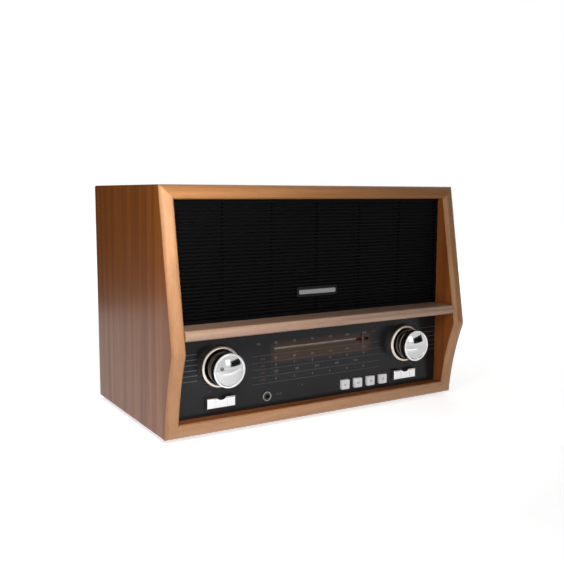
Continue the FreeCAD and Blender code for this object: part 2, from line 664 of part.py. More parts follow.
def make_transformer():
    """A laminated core with its winding and two mounting feet."""
    x0, x1, y0, y1 = -116, -66, 96, 132
    core = box(x0, x1, y0 + 8, y1 - 8, IN_Z0 + 1.5, IN_Z0 + 43)
    winding = box(x0 + 9, x1 - 9, y0, y1, IN_Z0 + 9, IN_Z0 + 36)
    winding = rounded(winding, 4, lambda px, py, pz: abs(abs(py - 114) - 18) < 0.1)
    feet = box(x0 - 8, x1 + 8, y0 + 8, y1 - 8, IN_Z0, IN_Z0 + 1.5)
    for x in (x0 - 4, x1 + 4):
        feet = feet.cut(rod_z(2.1, x, 114, IN_Z0 - 1, IN_Z0 + 3))
    save("power_transformer", joined([core, winding, feet]))


def make_ferrite():
    """The medium-wave aerial rod with its coil, in a holder under the cabinet's top."""
    y, z = 96.0, 166.0
    bar = joined([rod_x(5.0, y, z, -55, 55), rod_x(6.4, y, z, -30, 4)])
    arms = [box(x, x + 4, y - 9, y + 9, z - 9, IN_Z1) for x in (-48, 44)]
    holder = joined(arms + [box(-48, 48, y - 9, y + 9, IN_Z1 - 2, IN_Z1)])
    holder = holder.cut(rod_x(5.0, y, z, -60, 60))
    save("ferrite_antenna", Part.makeCompound([bar, holder]))


# ---------------------------------------------------------------- back

def make_rear_cover():
    """A flat hardboard back with two fields of vents."""
    y0, y1 = REAR_Y0, REAR_Y0 + REAR_T
    cover = box(-IN_X, IN_X, y0, y1, IN_Z0, IN_Z1)
    for side in (-1, 1):
        for k in range(8):
            z = 84 + 11 * k
            x = side * 62
            slot = box(x - 30, x + 30, y0 - 1, y1 + 1, z - 1.75, z + 1.75)
            ends = [rod(1.75, x + e, z, y0 - 1, y1 + 1) for e in (-30, 30)]
            cover = cover.cut(joined([slot] + ends))
    cover = cover.cut(box(INLET_X - 11, INLET_X + 11, y0 - 1, y1 + 1, INLET_Z - 7.5, INLET_Z + 7.5))
    for x, z in rear_screw_places():
        cover = cover.cut(rod(1.8, x, z, y0 - 1, y1 + 1))
    save("rear_cover", cover)


def rear_screw_places():
    return batten_places()


def make_rear_screws():
    screws = []
    y = REAR_Y0 + REAR_T
    for x, z in rear_screw_places():
        shank = rod(1.55, x, z, REAR_Y0 - 12, y + 0.2)
        head = rounded(rod(3.4, x, z, y, y + 2), 0.9, lambda px, py, pz: py > y + 1.9)
        cross = joined([box(x - 2, x + 2, y + 1.1, y + 3, z - 0.4, z + 0.4),
                        box(x - 0.4, x + 0.4, y + 1.1, y + 3, z - 2, z + 2)])
        screws.append(joined([shank, head]).cut(cross))
    save("rear_screws", Part.makeCompound(screws))


def make_inlet():
    """A two-pin mains inlet: flange outside the cover, body inside, open at the back."""
    y0, y1 = 150.0, REAR_Y0 + REAR_T
    x, z = INLET_X, INLET_Z
    flange = box(x - 15, x + 15, y1, y1 + 2, z - 10, z + 10)
    flange = rounded(flange, 2.5, lambda px, py, pz: abs(px - x) > 14.9 and abs(pz - z) > 9.9)
    body = joined([box(x - 11, x + 11, y0, y1 + 0.5, z - 7.5, z + 7.5), flange])
    half = PIN_PITCH / 2
    well = joined([rod(4.1, x - half, z, y0 + 8, y1 + 4), rod(4.1, x + half, z, y0 + 8, y1 + 4),
                   box(x - half, x + half, y0 + 8, y1 + 4, z - 4.1, z + 4.1)])
    pins = [rod(1.2, x + s * half, z, y0 + 4, y1 - 2) for s in (-1, 1)]
    save("mains_inlet", joined([body.cut(well)] + pins))


# ---------------------------------------------------------------- rod antenna

def make_antenna_base():
    """A block on the back cover with the swivel pin."""
    y0 = REAR_Y0 + REAR_T
    plate = box(ANT_X - 11, ANT_X + 11, y0, y0 + 2.5, ANT_Z - 8.5, ANT_Z + 8.5)
    plate = rounded(plate, 2, lambda px, py, pz: abs(px - ANT_X) > 10.9 and abs(pz - ANT_Z) > 8.4)
    boss = rod(7.5, ANT_X, ANT_Z, y0 + 2, ANT_Y - 5)
    pin = rod(2.5, ANT_X, ANT_Z, ANT_Y - 5.5, ANT_Y - 1.5)
    save("antenna_base", joined([plate, boss, pin]))


def make_antenna_knuckle():
    """It turns on the base's pin and holds the rod between two ears."""
    y0, y1 = ANT_Y - 4.7, ANT_Y + 4.0
    hub = rod(7.5, ANT_X, ANT_Z, y0, y1)
    hub = rounded(hub, 1.2, lambda px, py, pz: py > y1 - 0.1)
    block = box(ANT_X + 4, TILT_X, ANT_Y - 3.6, y1, ANT_Z - 5.6, ANT_Z + 5.6)
    nose = rod_z(3.8, TILT_X, ANT_Y, ANT_Z - 5.6, ANT_Z + 5.6)
    gap = box(ANT_X + 8.2, TILT_X + 6, ANT_Y - 5, y1 + 1, ANT_Z - 2.9, ANT_Z + 2.9)
    body = joined([hub, block, nose]).cut(gap)
    body = body.cut(rod(2.5 + RUN_FIT, ANT_X, ANT_Z, y0 - 1, ANT_Y - 1.2))
    pin = rod_z(1.5, TILT_X, ANT_Y, ANT_Z - 5.6, ANT_Z + 5.6)
    save("antenna_knuckle", joined([body, pin]))


def make_antenna_tubes():
    """Three sections that slide out of each other; the last is solid with a button end."""
    x0, x1 = TUBE_X0, TUBE_X0 + TUBE_L
    tongue = box(TILT_X, x0 + 2, ANT_Y - 2.6, ANT_Y + 2.6, ANT_Z - 2.5, ANT_Z + 2.5)
    eye = rod_z(2.6, TILT_X, ANT_Y, ANT_Z - 2.5, ANT_Z + 2.5)
    shell = rod_x(3.5, ANT_Y, ANT_Z, x0, x1).cut(rod_x(2.8, ANT_Y, ANT_Z, x0 + 3, x1 + 1))
    first = joined([tongue, eye, shell]).cut(rod_z(1.5 + RUN_FIT, TILT_X, ANT_Y, ANT_Z - 4, ANT_Z + 4))
    save("antenna_tube_1", first)
    second = rod_x(2.7, ANT_Y, ANT_Z, x0 + 4, x1 + 2)
    save("antenna_tube_2", second.cut(rod_x(2.0, ANT_Y, ANT_Z, x0 + 6, x1 + 3)))
    third = rod_x(1.9, ANT_Y, ANT_Z, x0 + 7, x1 + 5)
    button = rounded(rod_x(4.0, ANT_Y, ANT_Z, x1 + 4, x1 + 10), 1.2, lambda px, py, pz: px > x1 + 3)
    save("antenna_tube_3", joined([third, button]))


def main():
    os.makedirs("parts", exist_ok=True)
    make_cabinet()
    make_shelf()
    make_corner_blocks()
    make_baffle()
    make_feet()
    make_grille()
    make_grille_cloth()
    make_badge()
    make_dial_panel()
    make_pointer_rail()
    make_pointer()
    make_dial_cord()
    make_idler()
    make_drum()
    make_tuning_potentiometer()
    make_dial_chassis()
    make_spindle()
    make_tuning_bushing()
    make_knob("volume_knob", -KNOB_X)
    make_knob("tuning_knob", KNOB_X)
    make_knob_caps()
    make_bezel("volume_bezel", -KNOB_X)
    make_bezel("tuning_bezel", KNOB_X)
    make_volume_control()
    make_slide_switch("function_switch", -SWITCH_X)
    make_slide_switch("band_switch", SWITCH_X)
    make_buttons()
    make_control_board()
    make_jack()
    make_speaker("left", -SPK_X)
    make_speaker("right", SPK_X)
    make_speaker_screws()
    make_main_board()
    make_transformer()
    make_ferrite()
    make_rear_cover()
    make_rear_screws()
    make_inlet()
    make_antenna_base()
    make_antenna_knuckle()
    make_antenna_tubes()


main()
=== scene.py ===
# %% [markdown]
# # A wooden tabletop radio
# The radio is a wooden box whose front leans back above a kink and tucks in below it. A shelf
# divides the front: a louvred grille fills the upper bay, and a glossy dial panel with two chrome
# knobs fills the lower one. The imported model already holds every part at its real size. This
# lesson loads it as a fixed frame, and gives it the finish and the fine shapes that one sees.

# %% Load the frame
import json
import math

import bmesh
import bpy
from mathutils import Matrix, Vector


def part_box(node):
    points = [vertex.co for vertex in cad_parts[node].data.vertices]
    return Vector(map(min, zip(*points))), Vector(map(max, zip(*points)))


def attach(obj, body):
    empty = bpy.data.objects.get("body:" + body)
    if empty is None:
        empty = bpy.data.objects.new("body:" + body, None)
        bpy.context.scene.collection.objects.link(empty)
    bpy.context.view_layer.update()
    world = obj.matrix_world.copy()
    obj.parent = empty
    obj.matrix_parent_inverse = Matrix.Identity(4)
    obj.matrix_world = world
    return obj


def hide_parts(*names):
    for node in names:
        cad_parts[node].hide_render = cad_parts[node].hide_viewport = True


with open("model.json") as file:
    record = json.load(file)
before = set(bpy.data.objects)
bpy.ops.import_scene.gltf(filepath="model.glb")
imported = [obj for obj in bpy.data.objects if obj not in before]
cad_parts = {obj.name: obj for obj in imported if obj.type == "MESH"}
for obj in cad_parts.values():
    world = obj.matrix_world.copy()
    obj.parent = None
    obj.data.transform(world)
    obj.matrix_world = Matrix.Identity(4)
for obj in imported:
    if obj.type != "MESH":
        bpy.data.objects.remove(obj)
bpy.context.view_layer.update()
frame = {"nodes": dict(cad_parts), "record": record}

MM = 0.001
bpy.context.scene.view_settings.view_transform = "Standard"

# %% [markdown]
# ## Camera
# The camera comes first, because everything is judged through it. It stands in front and to the
# left, a little below the top of the cabinet, so the left side shows and the top doesn't. A long
# lens could flatten the box. This one is nearly normal, and lets the far end grow smaller.

# %% Camera
camera = bpy.data.objects.new("camera", bpy.data.cameras.new("camera"))
bpy.context.scene.collection.objects.link(camera)
camera.data.sensor_width = 36
camera.data.lens = 48.3
camera.location = (-0.3689, -0.6146, 0.1965)
camera.rotation_euler = (math.radians(83.302), math.radians(-0.122), math.radians(-31.18))
bpy.context.scene.camera = camera
print("camera stands", round(camera.location.length, 3), "m from the radio's foot")

# %% [markdown]
# ## Working by hand, in code
# Every new piece starts as a primitive at its size and place. Its place then goes into the mesh,
# so that the object itself stays at the origin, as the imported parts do. A mesh could be written
# down point by point instead, but then nobody could see how the piece was made.

# %% Helpers for starting a piece
def make_active(piece):
    bpy.ops.object.select_all(action="DESELECT")
    piece.select_set(True)
    bpy.context.view_layer.objects.active = piece


def settle(name):
    """Name the newest object and move its place into its mesh."""
    piece = bpy.context.object
    piece.name = name
    piece.data.name = name
    bpy.ops.object.transform_apply(location=True, rotation=True, scale=True)
    return piece


def block(name, low, high):
    """A cube stretched between two corners."""
    low, high = Vector(low), Vector(high)
    bpy.ops.object.select_all(action="DESELECT")
    bpy.ops.mesh.primitive_cube_add(size=1, location=(low + high) / 2, scale=high - low)
    return settle(name)


def round_bar(name, x, z, radius, y0, y1, corners=96):
    """A cylinder that lies along Y, between two depths."""
    bpy.ops.object.select_all(action="DESELECT")
    bpy.ops.mesh.primitive_cylinder_add(vertices=corners, radius=radius, depth=y1 - y0,
                                        location=(x, (y0 + y1) / 2, z),
                                        rotation=(math.pi / 2, 0, 0))
    return settle(name)

# %% [markdown]
# In edit mode one picks some faces, edges or corners, and then an ordinary operator shapes them. A
# hand picks them with the mouse. Here they are picked by where they lie or which way they look, so
# the steps still fit when a measure changes.

# %% Helpers for picking and shaping
def edit(piece):
    make_active(piece)
    bpy.ops.object.mode_set(mode="EDIT")
    bpy.ops.mesh.select_all(action="DESELECT")


def leave_edit():
    bpy.ops.object.mode_set(mode="OBJECT")


def pick(kind, elements, wanted):
    """In edit mode, select only the mesh's faces, edges or corners that are wanted."""
    bpy.ops.mesh.select_mode(type=kind)
    bpy.ops.mesh.select_all(action="DESELECT")
    mesh = bmesh.from_edit_mesh(bpy.context.object.data)
    for element in getattr(mesh, elements):
        element.select = bool(wanted(element))
    mesh.select_flush_mode()
    bmesh.update_edit_mesh(bpy.context.object.data)


def pick_faces(wanted):
    """Select the faces for which wanted(centre, normal) is true."""
    pick("FACE", "faces", lambda face: wanted(face.calc_center_median(), face.normal))


def pick_edges(wanted):
    """Select the edges for which wanted(middle, turn) is true; the turn is in degrees."""
    pick("EDGE", "edges", lambda edge: wanted((edge.verts[0].co + edge.verts[1].co) / 2,
                                              math.degrees(edge.calc_face_angle(0.0))))


def pick_corners(wanted):
    """Select the corners for which wanted(place) is true."""
    pick("VERT", "verts", lambda corner: wanted(corner.co))


def push(*move):
    bpy.ops.transform.translate(value=move)


def extrude(*move):
    bpy.ops.mesh.extrude_region_move(TRANSFORM_OT_translate={"value": move})


def grow(centre, across, up):
    """Scale what is selected about a point, in X and in Z."""
    bpy.ops.transform.resize(value=(across, 1, up), center_override=centre)


def saw(place, normal):
    """Cut the whole piece with a plane, which leaves new edges and takes nothing away."""
    bpy.ops.mesh.select_all(action="SELECT")
    bpy.ops.mesh.bisect(plane_co=place, plane_no=normal)


def round_edges(radius, segments, wanted, **settings):
    """Round over the edges for which wanted(middle, turn) is true."""
    pick_edges(wanted)
    bpy.ops.mesh.bevel(offset=radius, segments=segments, affect="EDGES", **settings)

# %% [markdown]
# A modifier is a step that can be undone until it is applied. Here each one is applied at once, so
# that the mesh is the piece. What repeats is copied with a mesh of its own. Last, every piece is
# told which body it moves with, what finish it has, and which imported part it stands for.

# %% Helpers for finishing a piece
def use_modifier(piece, kind, **settings):
    make_active(piece)
    modifier = piece.modifiers.new(kind.lower(), kind)
    for name, value in settings.items():
        setattr(modifier, name, value)
    bpy.ops.object.modifier_apply(modifier=modifier.name)


def carve(piece, cutter):
    """Take a cutter's shape out of the piece, and throw the cutter away."""
    use_modifier(piece, "BOOLEAN", operation="DIFFERENCE", solver="EXACT", object=cutter)
    bpy.data.objects.remove(cutter)


def smooth(piece, angle):
    """Shade gentle turns smoothly, and leave turns above an angle sharp."""
    make_active(piece)
    bpy.ops.object.shade_smooth_by_angle(angle=math.radians(angle))


def soften(piece, angle=35):
    """Smooth shading with flat faces kept truly flat."""
    smooth(piece, angle)
    use_modifier(piece, "WEIGHTED_NORMAL", keep_sharp=True)


def copy_piece(piece, name, move=(0, 0, 0)):
    """A copy with its own mesh, moved to its place."""
    copy = piece.copy()
    copy.data = piece.data.copy()
    copy.name = name
    copy.data.name = name
    bpy.context.scene.collection.objects.link(copy)
    copy.location = move
    make_active(copy)
    bpy.ops.object.transform_apply(location=True, rotation=True, scale=True)
    return copy


def join_pieces(name, pieces):
    make_active(pieces[0])
    for piece in pieces[1:]:
        piece.select_set(True)
    if len(pieces) > 1:
        bpy.ops.object.join()
    pieces[0].name = name
    pieces[0].data.name = name
    return pieces[0]


def dress(piece, body, nodes=(), materials=()):
    """Say what a new piece moves with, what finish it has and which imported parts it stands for."""
    if materials:
        piece.data.materials.clear()
        for material in materials:
            piece.data.materials.append(material)
    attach(piece, body)
    if nodes:
        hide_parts(*nodes)
    print(piece.name, "rides on", body, "with", len(piece.data.polygons), "faces")

# %% [markdown]
# ## Building blocks for materials
# A finish is a small network of shader nodes. Pictures could be wrapped round the parts, but
# patterns worked out in space need no unwrapping and stay sharp close up. Nodes are many and
# alike, so each kind that is used often gets a short helper.

# %% Helpers for shader nodes
def plug(tree, value, socket):
    """Connect another node's output, or write down a plain value."""
    if isinstance(value, bpy.types.NodeSocket):
        tree.links.new(value, socket)
    else:
        socket.default_value = value


def node(tree, kind, inputs=None, **settings):
    """Add a shader node with its settings and its named inputs."""
    added = tree.nodes.new("ShaderNode" + kind)
    for name, value in settings.items():
        setattr(added, name, value)
    for name, value in (inputs or {}).items():
        plug(tree, value, added.inputs[name])
    return added


def maths(tree, operation, first, second=0.0):
    added = node(tree, "Math", operation=operation)
    plug(tree, first, added.inputs[0])
    plug(tree, second, added.inputs[1])
    return added.outputs[0]


def weighted_sum(tree, *parts):
    """Add values up, each one times its own weight."""
    total = 0.0
    for value, weight in parts:
        total = maths(tree, "ADD", total, maths(tree, "MULTIPLY", value, weight))
    return total


def stretch(tree, vector, scale):
    """Scale a vector, so that a pattern is finer or longer along each axis."""
    added = node(tree, "VectorMath", operation="MULTIPLY")
    plug(tree, vector, added.inputs[0])
    added.inputs[1].default_value = scale
    return added.outputs[0]


def rescale(tree, value, low, high, new_low=0.0, new_high=1.0):
    """Spread the values between low and high, and hold what lies outside at the ends."""
    added = node(tree, "MapRange", {"Value": value, "From Min": low, "From Max": high,
                                    "To Min": new_low, "To Max": new_high})
    return added.outputs["Result"]


def blend_colours(tree, share, first, second, how="MIX"):
    added = node(tree, "Mix", data_type="RGBA", blend_type=how)
    for socket, value in zip((added.inputs[0], added.inputs[6], added.inputs[7]),
                             (share, first, second)):
        plug(tree, value, socket)
    return added.outputs[2]


def noise(tree, vector, scale, detail=2.0, roughness=0.5, distortion=0.0):
    return node(tree, "TexNoise", {"Vector": vector, "Scale": scale, "Detail": detail,
                                   "Roughness": roughness, "Distortion": distortion}).outputs["Fac"]


def object_place(tree):
    return tree.nodes.new("ShaderNodeTexCoord").outputs["Object"]


def roughen(tree, shader, height, strength, distance):
    """Turn a height into small dents of the surface."""
    bump = node(tree, "Bump", {"Height": height, "Strength": strength, "Distance": distance})
    tree.links.new(bump.outputs["Normal"], shader.inputs["Normal"])

# %% [markdown]
# Effects that several finishes share, such as wood grain, become node groups. Their nodes could be
# copied into each material, but a change would then have to be made everywhere. A group gives only
# colours, masks and heights, and each material keeps its own shader.

# %% Helpers for groups and materials
def group_of_nodes(name, inputs, outputs):
    """An empty node group with named inputs and outputs. Inputs are (name, kind, default)."""
    group = bpy.data.node_groups.new(name, "ShaderNodeTree")
    for title, kind, default in inputs:
        socket = group.interface.new_socket(title, in_out="INPUT", socket_type="NodeSocket" + kind)
        if default is not None:
            socket.default_value = default
    for title, kind in outputs:
        group.interface.new_socket(title, in_out="OUTPUT", socket_type="NodeSocket" + kind)
    entry = group.nodes.new("NodeGroupInput").outputs
    exits = group.nodes.new("NodeGroupOutput").inputs
    return group, entry, exits


def use_group(tree, group, **inputs):
    """Place a group in a material. Underscores in the names stand for spaces."""
    added = tree.nodes.new("ShaderNodeGroup")
    added.node_tree = group
    for name, value in inputs.items():
        plug(tree, value, added.inputs[name.replace("_", " ").capitalize()])
    return added.outputs


def start_material(name, colour, roughness=0.5, metallic=0.0, **constants):
    """A material with its Principled shader, plain values set on the shader's own sockets."""
    material = bpy.data.materials.new(name)
    material.use_nodes = True
    material.diffuse_color = (*colour, 1)
    tree = material.node_tree
    shader = tree.nodes["Principled BSDF"]
    shader.inputs["Base Color"].default_value = (*colour, 1)
    shader.inputs["Roughness"].default_value = roughness
    shader.inputs["Metallic"].default_value = metallic
    for title, value in constants.items():
        shader.inputs[title.replace("_", " ")].default_value = value
    return material, tree, shader

# %% [markdown]
# ## Wood grain
# A plank shows three things at once: broad bands of tone, finer growth lines that wander along
# it, and short dark pores. Each is a pattern that is squeezed across the grain and stretched
# along it. The grain runs along the group's own Z axis, so each board turns it to suit itself.

# %% The wood grain group
def build_wood_grain():
    group, entry, exits = group_of_nodes(
        "Wood grain",
        [("Vector", "Vector", None), ("Pale", "Color", (0.5, 0.3, 0.15, 1)),
         ("Dark", "Color", (0.2, 0.1, 0.04, 1)), ("Contrast", "Float", 1.0),
         ("Pores", "Float", 0.4)],
        [("Color", "Color"), ("Height", "Float"), ("Shine", "Float")])
    wander = noise(group, stretch(group, entry["Vector"], (1, 1, 0.3)), 9, detail=1)
    along = stretch(group, entry["Vector"], (1, 1, 0.045))
    bands = noise(group, along, 34, detail=2, distortion=0.5)
    lines = node(group, "TexWave", {"Vector": along, "Scale": 26, "Distortion": 9, "Detail": 3,
                                    "Detail Scale": 1.3, "Detail Roughness": 0.6},
                 wave_type="BANDS", bands_direction="DIAGONAL").outputs["Fac"]
    streaks = noise(group, stretch(group, entry["Vector"], (1, 1, 0.03)), 210, detail=4,
                    roughness=0.65)
    tone = weighted_sum(group, (bands, 0.42), (lines, 0.2), (streaks, 0.38), (wander, 0.12))
    tone = rescale(group, tone, 0.42, 0.72)
    centred = maths(group, "SUBTRACT", tone, 0.5)
    tone = maths(group, "ADD", maths(group, "MULTIPLY", centred, entry["Contrast"]), 0.5)
    flecks = noise(group, stretch(group, entry["Vector"], (1, 1, 0.05)), 1500, detail=1)
    flecks = rescale(group, flecks, 0.58, 0.7)
    colour = blend_colours(group, tone, entry["Pale"], entry["Dark"])
    depth = maths(group, "MULTIPLY", flecks, entry["Pores"])
    colour = blend_colours(group, depth, colour, (0.25, 0.2, 0.18, 1), "MULTIPLY")
    group.links.new(colour, exits["Color"])
    group.links.new(maths(group, "SUBTRACT", 1.0, flecks), exits["Height"])
    group.links.new(rescale(group, tone, 0, 1, 0.0, 0.1), exits["Shine"])
    return group


wood_grain = build_wood_grain()
print("the wood grain takes", len(wood_grain.nodes), "nodes")

# %% [markdown]
# ## Handling marks and dust
# Nothing that is used stays evenly shiny. A slow noise varies the roughness of plastic, metal and
# lacquer a little, as wiping and fingers do. Dust settles only on faces that look up, so a mask
# made from the surface's direction lays it there, in faint patches.

# %% The handling group and the dust group
def build_handling():
    group, entry, exits = group_of_nodes(
        "Handling marks",
        [("Vector", "Vector", None), ("Base roughness", "Float", 0.3), ("Spread", "Float", 0.08)],
        [("Roughness", "Float"), ("Mask", "Float")])
    broad = noise(group, entry["Vector"], 22, detail=3, roughness=0.55, distortion=0.4)
    fine = noise(group, stretch(group, entry["Vector"], (1, 1, 0.4)), 260, detail=2)
    mask = rescale(group, weighted_sum(group, (broad, 0.7), (fine, 0.3)), 0.35, 0.68)
    spread = maths(group, "MULTIPLY", maths(group, "SUBTRACT", mask, 0.5), entry["Spread"])
    group.links.new(maths(group, "ADD", entry["Base roughness"], spread), exits["Roughness"])
    group.links.new(mask, exits["Mask"])
    return group


def build_dust():
    group, entry, exits = group_of_nodes(
        "Settled dust",
        [("Vector", "Vector", None), ("Color", "Color", (0.1, 0.1, 0.1, 1)),
         ("Amount", "Float", 0.1)],
        [("Color", "Color"), ("Mask", "Float")])
    direction = node(group, "SeparateXYZ", {"Vector": node(group, "NewGeometry").outputs["Normal"]})
    upward = rescale(group, direction.outputs["Z"], 0.55, 0.95)
    patches = rescale(group, noise(group, entry["Vector"], 60, detail=4, roughness=0.6), 0.4, 0.7)
    mask = maths(group, "MULTIPLY", maths(group, "MULTIPLY", upward, patches), entry["Amount"])
    colour = blend_colours(group, mask, entry["Color"], (0.55, 0.53, 0.5, 1))
    group.links.new(colour, exits["Color"])
    group.links.new(mask, exits["Mask"])
    return group


handling = build_handling()
dust = build_dust()


def show_handling(tree, shader, place, roughness, spread):
    """Let handling vary a finish's roughness, and give the group's outputs back."""
    marks = use_group(tree, handling, Vector=place, Base_roughness=roughness, Spread=spread)
    tree.links.new(marks["Roughness"], shader.inputs["Roughness"])
    return marks


def lay_dust(tree, shader, place, colour, amount):
    """Lay dust over a colour, and make that the finish's own colour."""
    dusty = use_group(tree, dust, Vector=place, Color=colour, Amount=amount)
    tree.links.new(dusty["Color"], shader.inputs["Base Color"])


print("handling takes", len(handling.nodes), "nodes, and dust", len(dust.nodes))

# %% [markdown]
# ## Woods
# The cabinet is board covered with dark walnut veneer, and its front edges are lipped with a paler
# honey wood. That paleness is partly the lipping's own colour and partly painted sheen: the pale
# sheen that the lacquer shows on the lit lipping is painted into its colour. Both lie under satin
# lacquer, which is a clear coat on top of the wood's own colour. The strip along the top is a deeper
# honey, which is painted shade for the light that falls off along it, and its lacquer is duller. The
# walls inside the opening get walnut in a colour of their own, which paints the light and shade on
# them. The sides' grain stands upright, as cut from one sheet, and the long boards' grain runs
# level. Each wood could be built on its own, but the same group makes them all: only the colours
# and the direction change.

# %% Wood materials
UPRIGHT = (0, 0, 0)
LEVEL = (0, math.pi / 2, 0)


def wood(name, pale, dark, direction, contrast=1.0, pores=0.4, roughness=0.42, coat=1.0,
         coat_roughness=0.16):
    material, tree, shader = start_material(name, pale, Coat_Weight=coat,
                                            Coat_Roughness=coat_roughness,
                                            Specular_IOR_Level=0.2)
    turned = node(tree, "Mapping", {"Vector": object_place(tree), "Rotation": direction})
    grain = use_group(tree, wood_grain, Vector=turned.outputs["Vector"], Pale=(*pale, 1),
                      Dark=(*dark, 1), Contrast=contrast, Pores=pores)
    tree.links.new(grain["Color"], shader.inputs["Base Color"])
    tree.links.new(maths(tree, "ADD", grain["Shine"], roughness), shader.inputs["Roughness"])
    roughen(tree, shader, grain["Height"], 0.12, 0.00008)
    return material


# Each wood is a pair of colours: between the growth lines, and on them
WALNUT = ((0.335, 0.104, 0.018), (0.225, 0.062, 0.010))
# Honey: partly the lipping's own colour, and partly painted sheen that pales it
HONEY_AND_PAINTED_SHEEN = ((0.530, 0.270, 0.124), (0.390, 0.182, 0.074))
# Walnut recoloured for the walls inside the opening: its colour is painted light and shade
INNER_WALL_PAINTED_LIGHT = ((0.350, 0.108, 0.026), (0.235, 0.066, 0.015))
# A darker copy of the honey: painted shade for the top strip, where the light falls off
HONEY_PAINTED_SHADE = ((0.425, 0.196, 0.074), (0.310, 0.126, 0.040))
ROSE = ((0.450, 0.282, 0.192), (0.335, 0.192, 0.124))

veneer_upright = wood("veneer_upright", *WALNUT, UPRIGHT, coat=0.3, coat_roughness=0.22)
veneer_level = wood("veneer_level", *WALNUT, LEVEL, coat=0.3, coat_roughness=0.22)
# The opening's inner walls: their wood colour is painted light and shade
inner_upright_painted_light = wood("inner_upright_painted_light", *INNER_WALL_PAINTED_LIGHT, UPRIGHT, coat=0.4, coat_roughness=0.3)
inner_level_painted_light = wood("inner_level_painted_light", *INNER_WALL_PAINTED_LIGHT, LEVEL, coat=0.4, coat_roughness=0.3)
lipping_upright = wood("lipping_upright", *HONEY_AND_PAINTED_SHEEN, UPRIGHT, contrast=0.8, pores=0.2, coat=0.6)
lipping_level = wood("lipping_level", *HONEY_AND_PAINTED_SHEEN, LEVEL, contrast=0.8, pores=0.2)
# The top strip's lipping: its darker honey is painted shade
lipping_top_painted_shade = wood("lipping_top_painted_shade", *HONEY_PAINTED_SHADE, LEVEL, contrast=0.8, pores=0.2, coat=0.15)
shelf_wood = wood("shelf_wood", *ROSE, LEVEL, contrast=0.7, pores=0.15, coat_roughness=0.25)
raw_wood = wood("raw_wood", (0.62, 0.47, 0.30), (0.42, 0.29, 0.16), LEVEL, pores=0.5,
                roughness=0.75, coat=0.0)
print("with the woods there are", len(bpy.data.materials), "materials")

# %% [markdown]
# ## Metals
# Chrome plating is a mirror: nearly all of its look is the room around it, so it needs only a low
# roughness with faint wiping marks. The knobs' face plates are spun on a lathe and polished, which
# leaves rings too fine to see singly. The dial's strip is pale bronze, rolled along its length.
# Zinc-plated steel inside is duller, with a mottled plating. Pictures of metal would bring their
# own reflections along, so none is used.

# %% Metal materials
def middle_of(name):
    low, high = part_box(name)
    return (low + high) / 2


def plain_metal(name, colour, roughness, spread):
    material, tree, shader = start_material(name, colour, roughness, metallic=1.0)
    show_handling(tree, shader, object_place(tree), roughness, spread)
    return material, tree, shader


def spun_face(name, middle):
    """Polished metal with lathe rings round an axis that runs along Y."""
    material, tree, shader = plain_metal(name, (0.57, 0.57, 0.57), 0.10, 0.04)
    centred = node(tree, "Mapping", {"Vector": object_place(tree),
                                     "Location": (-middle.x, 0, -middle.z)})
    rings = node(tree, "TexWave", {"Vector": centred.outputs["Vector"], "Scale": 520,
                                   "Distortion": 0.6, "Detail": 2},
                 wave_type="RINGS", rings_direction="Y").outputs["Fac"]
    roughen(tree, shader, rings, 0.05, 0.00001)
    return material


def plated_steel():
    material, tree, shader = plain_metal("zinc_plated_steel", (0.50, 0.50, 0.49), 0.38, 0.2)
    spangle = node(tree, "TexVoronoi", {"Vector": object_place(tree), "Scale": 260})
    tone = rescale(tree, spangle.outputs["Distance"], 0, 0.8, 0, 0.35)
    colour = blend_colours(tree, tone, (0.56, 0.56, 0.55, 1), (0.40, 0.40, 0.40, 1))
    tree.links.new(colour, shader.inputs["Base Color"])
    return material


def pale_bronze():
    """Rolled bronze, pale and satin: fine scratches run along the strip."""
    material, tree, shader = plain_metal("satin_bronze", (0.84, 0.74, 0.66), 0.42, 0.1)
    rolled = noise(tree, stretch(tree, object_place(tree), (0.04, 1, 1)), 2600, detail=2)
    tone = rescale(tree, rolled, 0.35, 0.65)
    colour = blend_colours(tree, tone, (0.76, 0.66, 0.58, 1), (0.55, 0.46, 0.39, 1))
    tree.links.new(colour, shader.inputs["Base Color"])
    roughen(tree, shader, rolled, 0.2, 0.00002)
    return material


chrome = plain_metal("chrome", (0.76, 0.76, 0.77), 0.09, 0.05)[0]
nickel = plain_metal("dull_nickel", (0.34, 0.33, 0.31), 0.35, 0.1)[0]
# Chrome painted dark: a painted dark reflection on the knobs' sides, and the dimple's colour
chrome_painted_dark = plain_metal("chrome_painted_dark", (0.20, 0.185, 0.17), 0.22, 0.08)[0]
# Chrome with a warm tint: a painted reflection of the wood
chrome_painted_warm = plain_metal("chrome_painted_warm", (0.73, 0.66, 0.60), 0.30, 0.08)[0]
volume_face = spun_face("spun_face_volume", middle_of("volume_knob"))
tuning_face = spun_face("spun_face_tuning", middle_of("tuning_knob"))
bright_bar = plain_metal("satin_aluminium", (0.28, 0.28, 0.28), 0.38, 0.1)[0]
steel = plated_steel()
bronze = pale_bronze()
print("with the metals there are", len(bpy.data.materials), "materials")

# %% [markdown]
# ## Plastics, rubber and paper
# Moulded plastic is never quite one colour or one gloss: the mould's texture shows as fine dents,
# and handling polishes it in places. One recipe with its own numbers serves every moulding. Dust
# lies on the ledges of the dark ones.

# %% Moulded materials
def moulded(name, colour, roughness, dents=0.15, dent_scale=900, spread=0.1, dust_amount=0.05,
            variation=0.12, **constants):
    material, tree, shader = start_material(name, colour, roughness, **constants)
    place = object_place(tree)
    marks = show_handling(tree, shader, place, roughness, spread)
    shade = tuple(part * (1 - variation) for part in colour)
    tone = blend_colours(tree, marks["Mask"], (*colour, 1), (*shade, 1))
    lay_dust(tree, shader, place, tone, dust_amount)
    roughen(tree, shader, noise(tree, place, dent_scale, detail=2), dents, 0.00005)
    return material


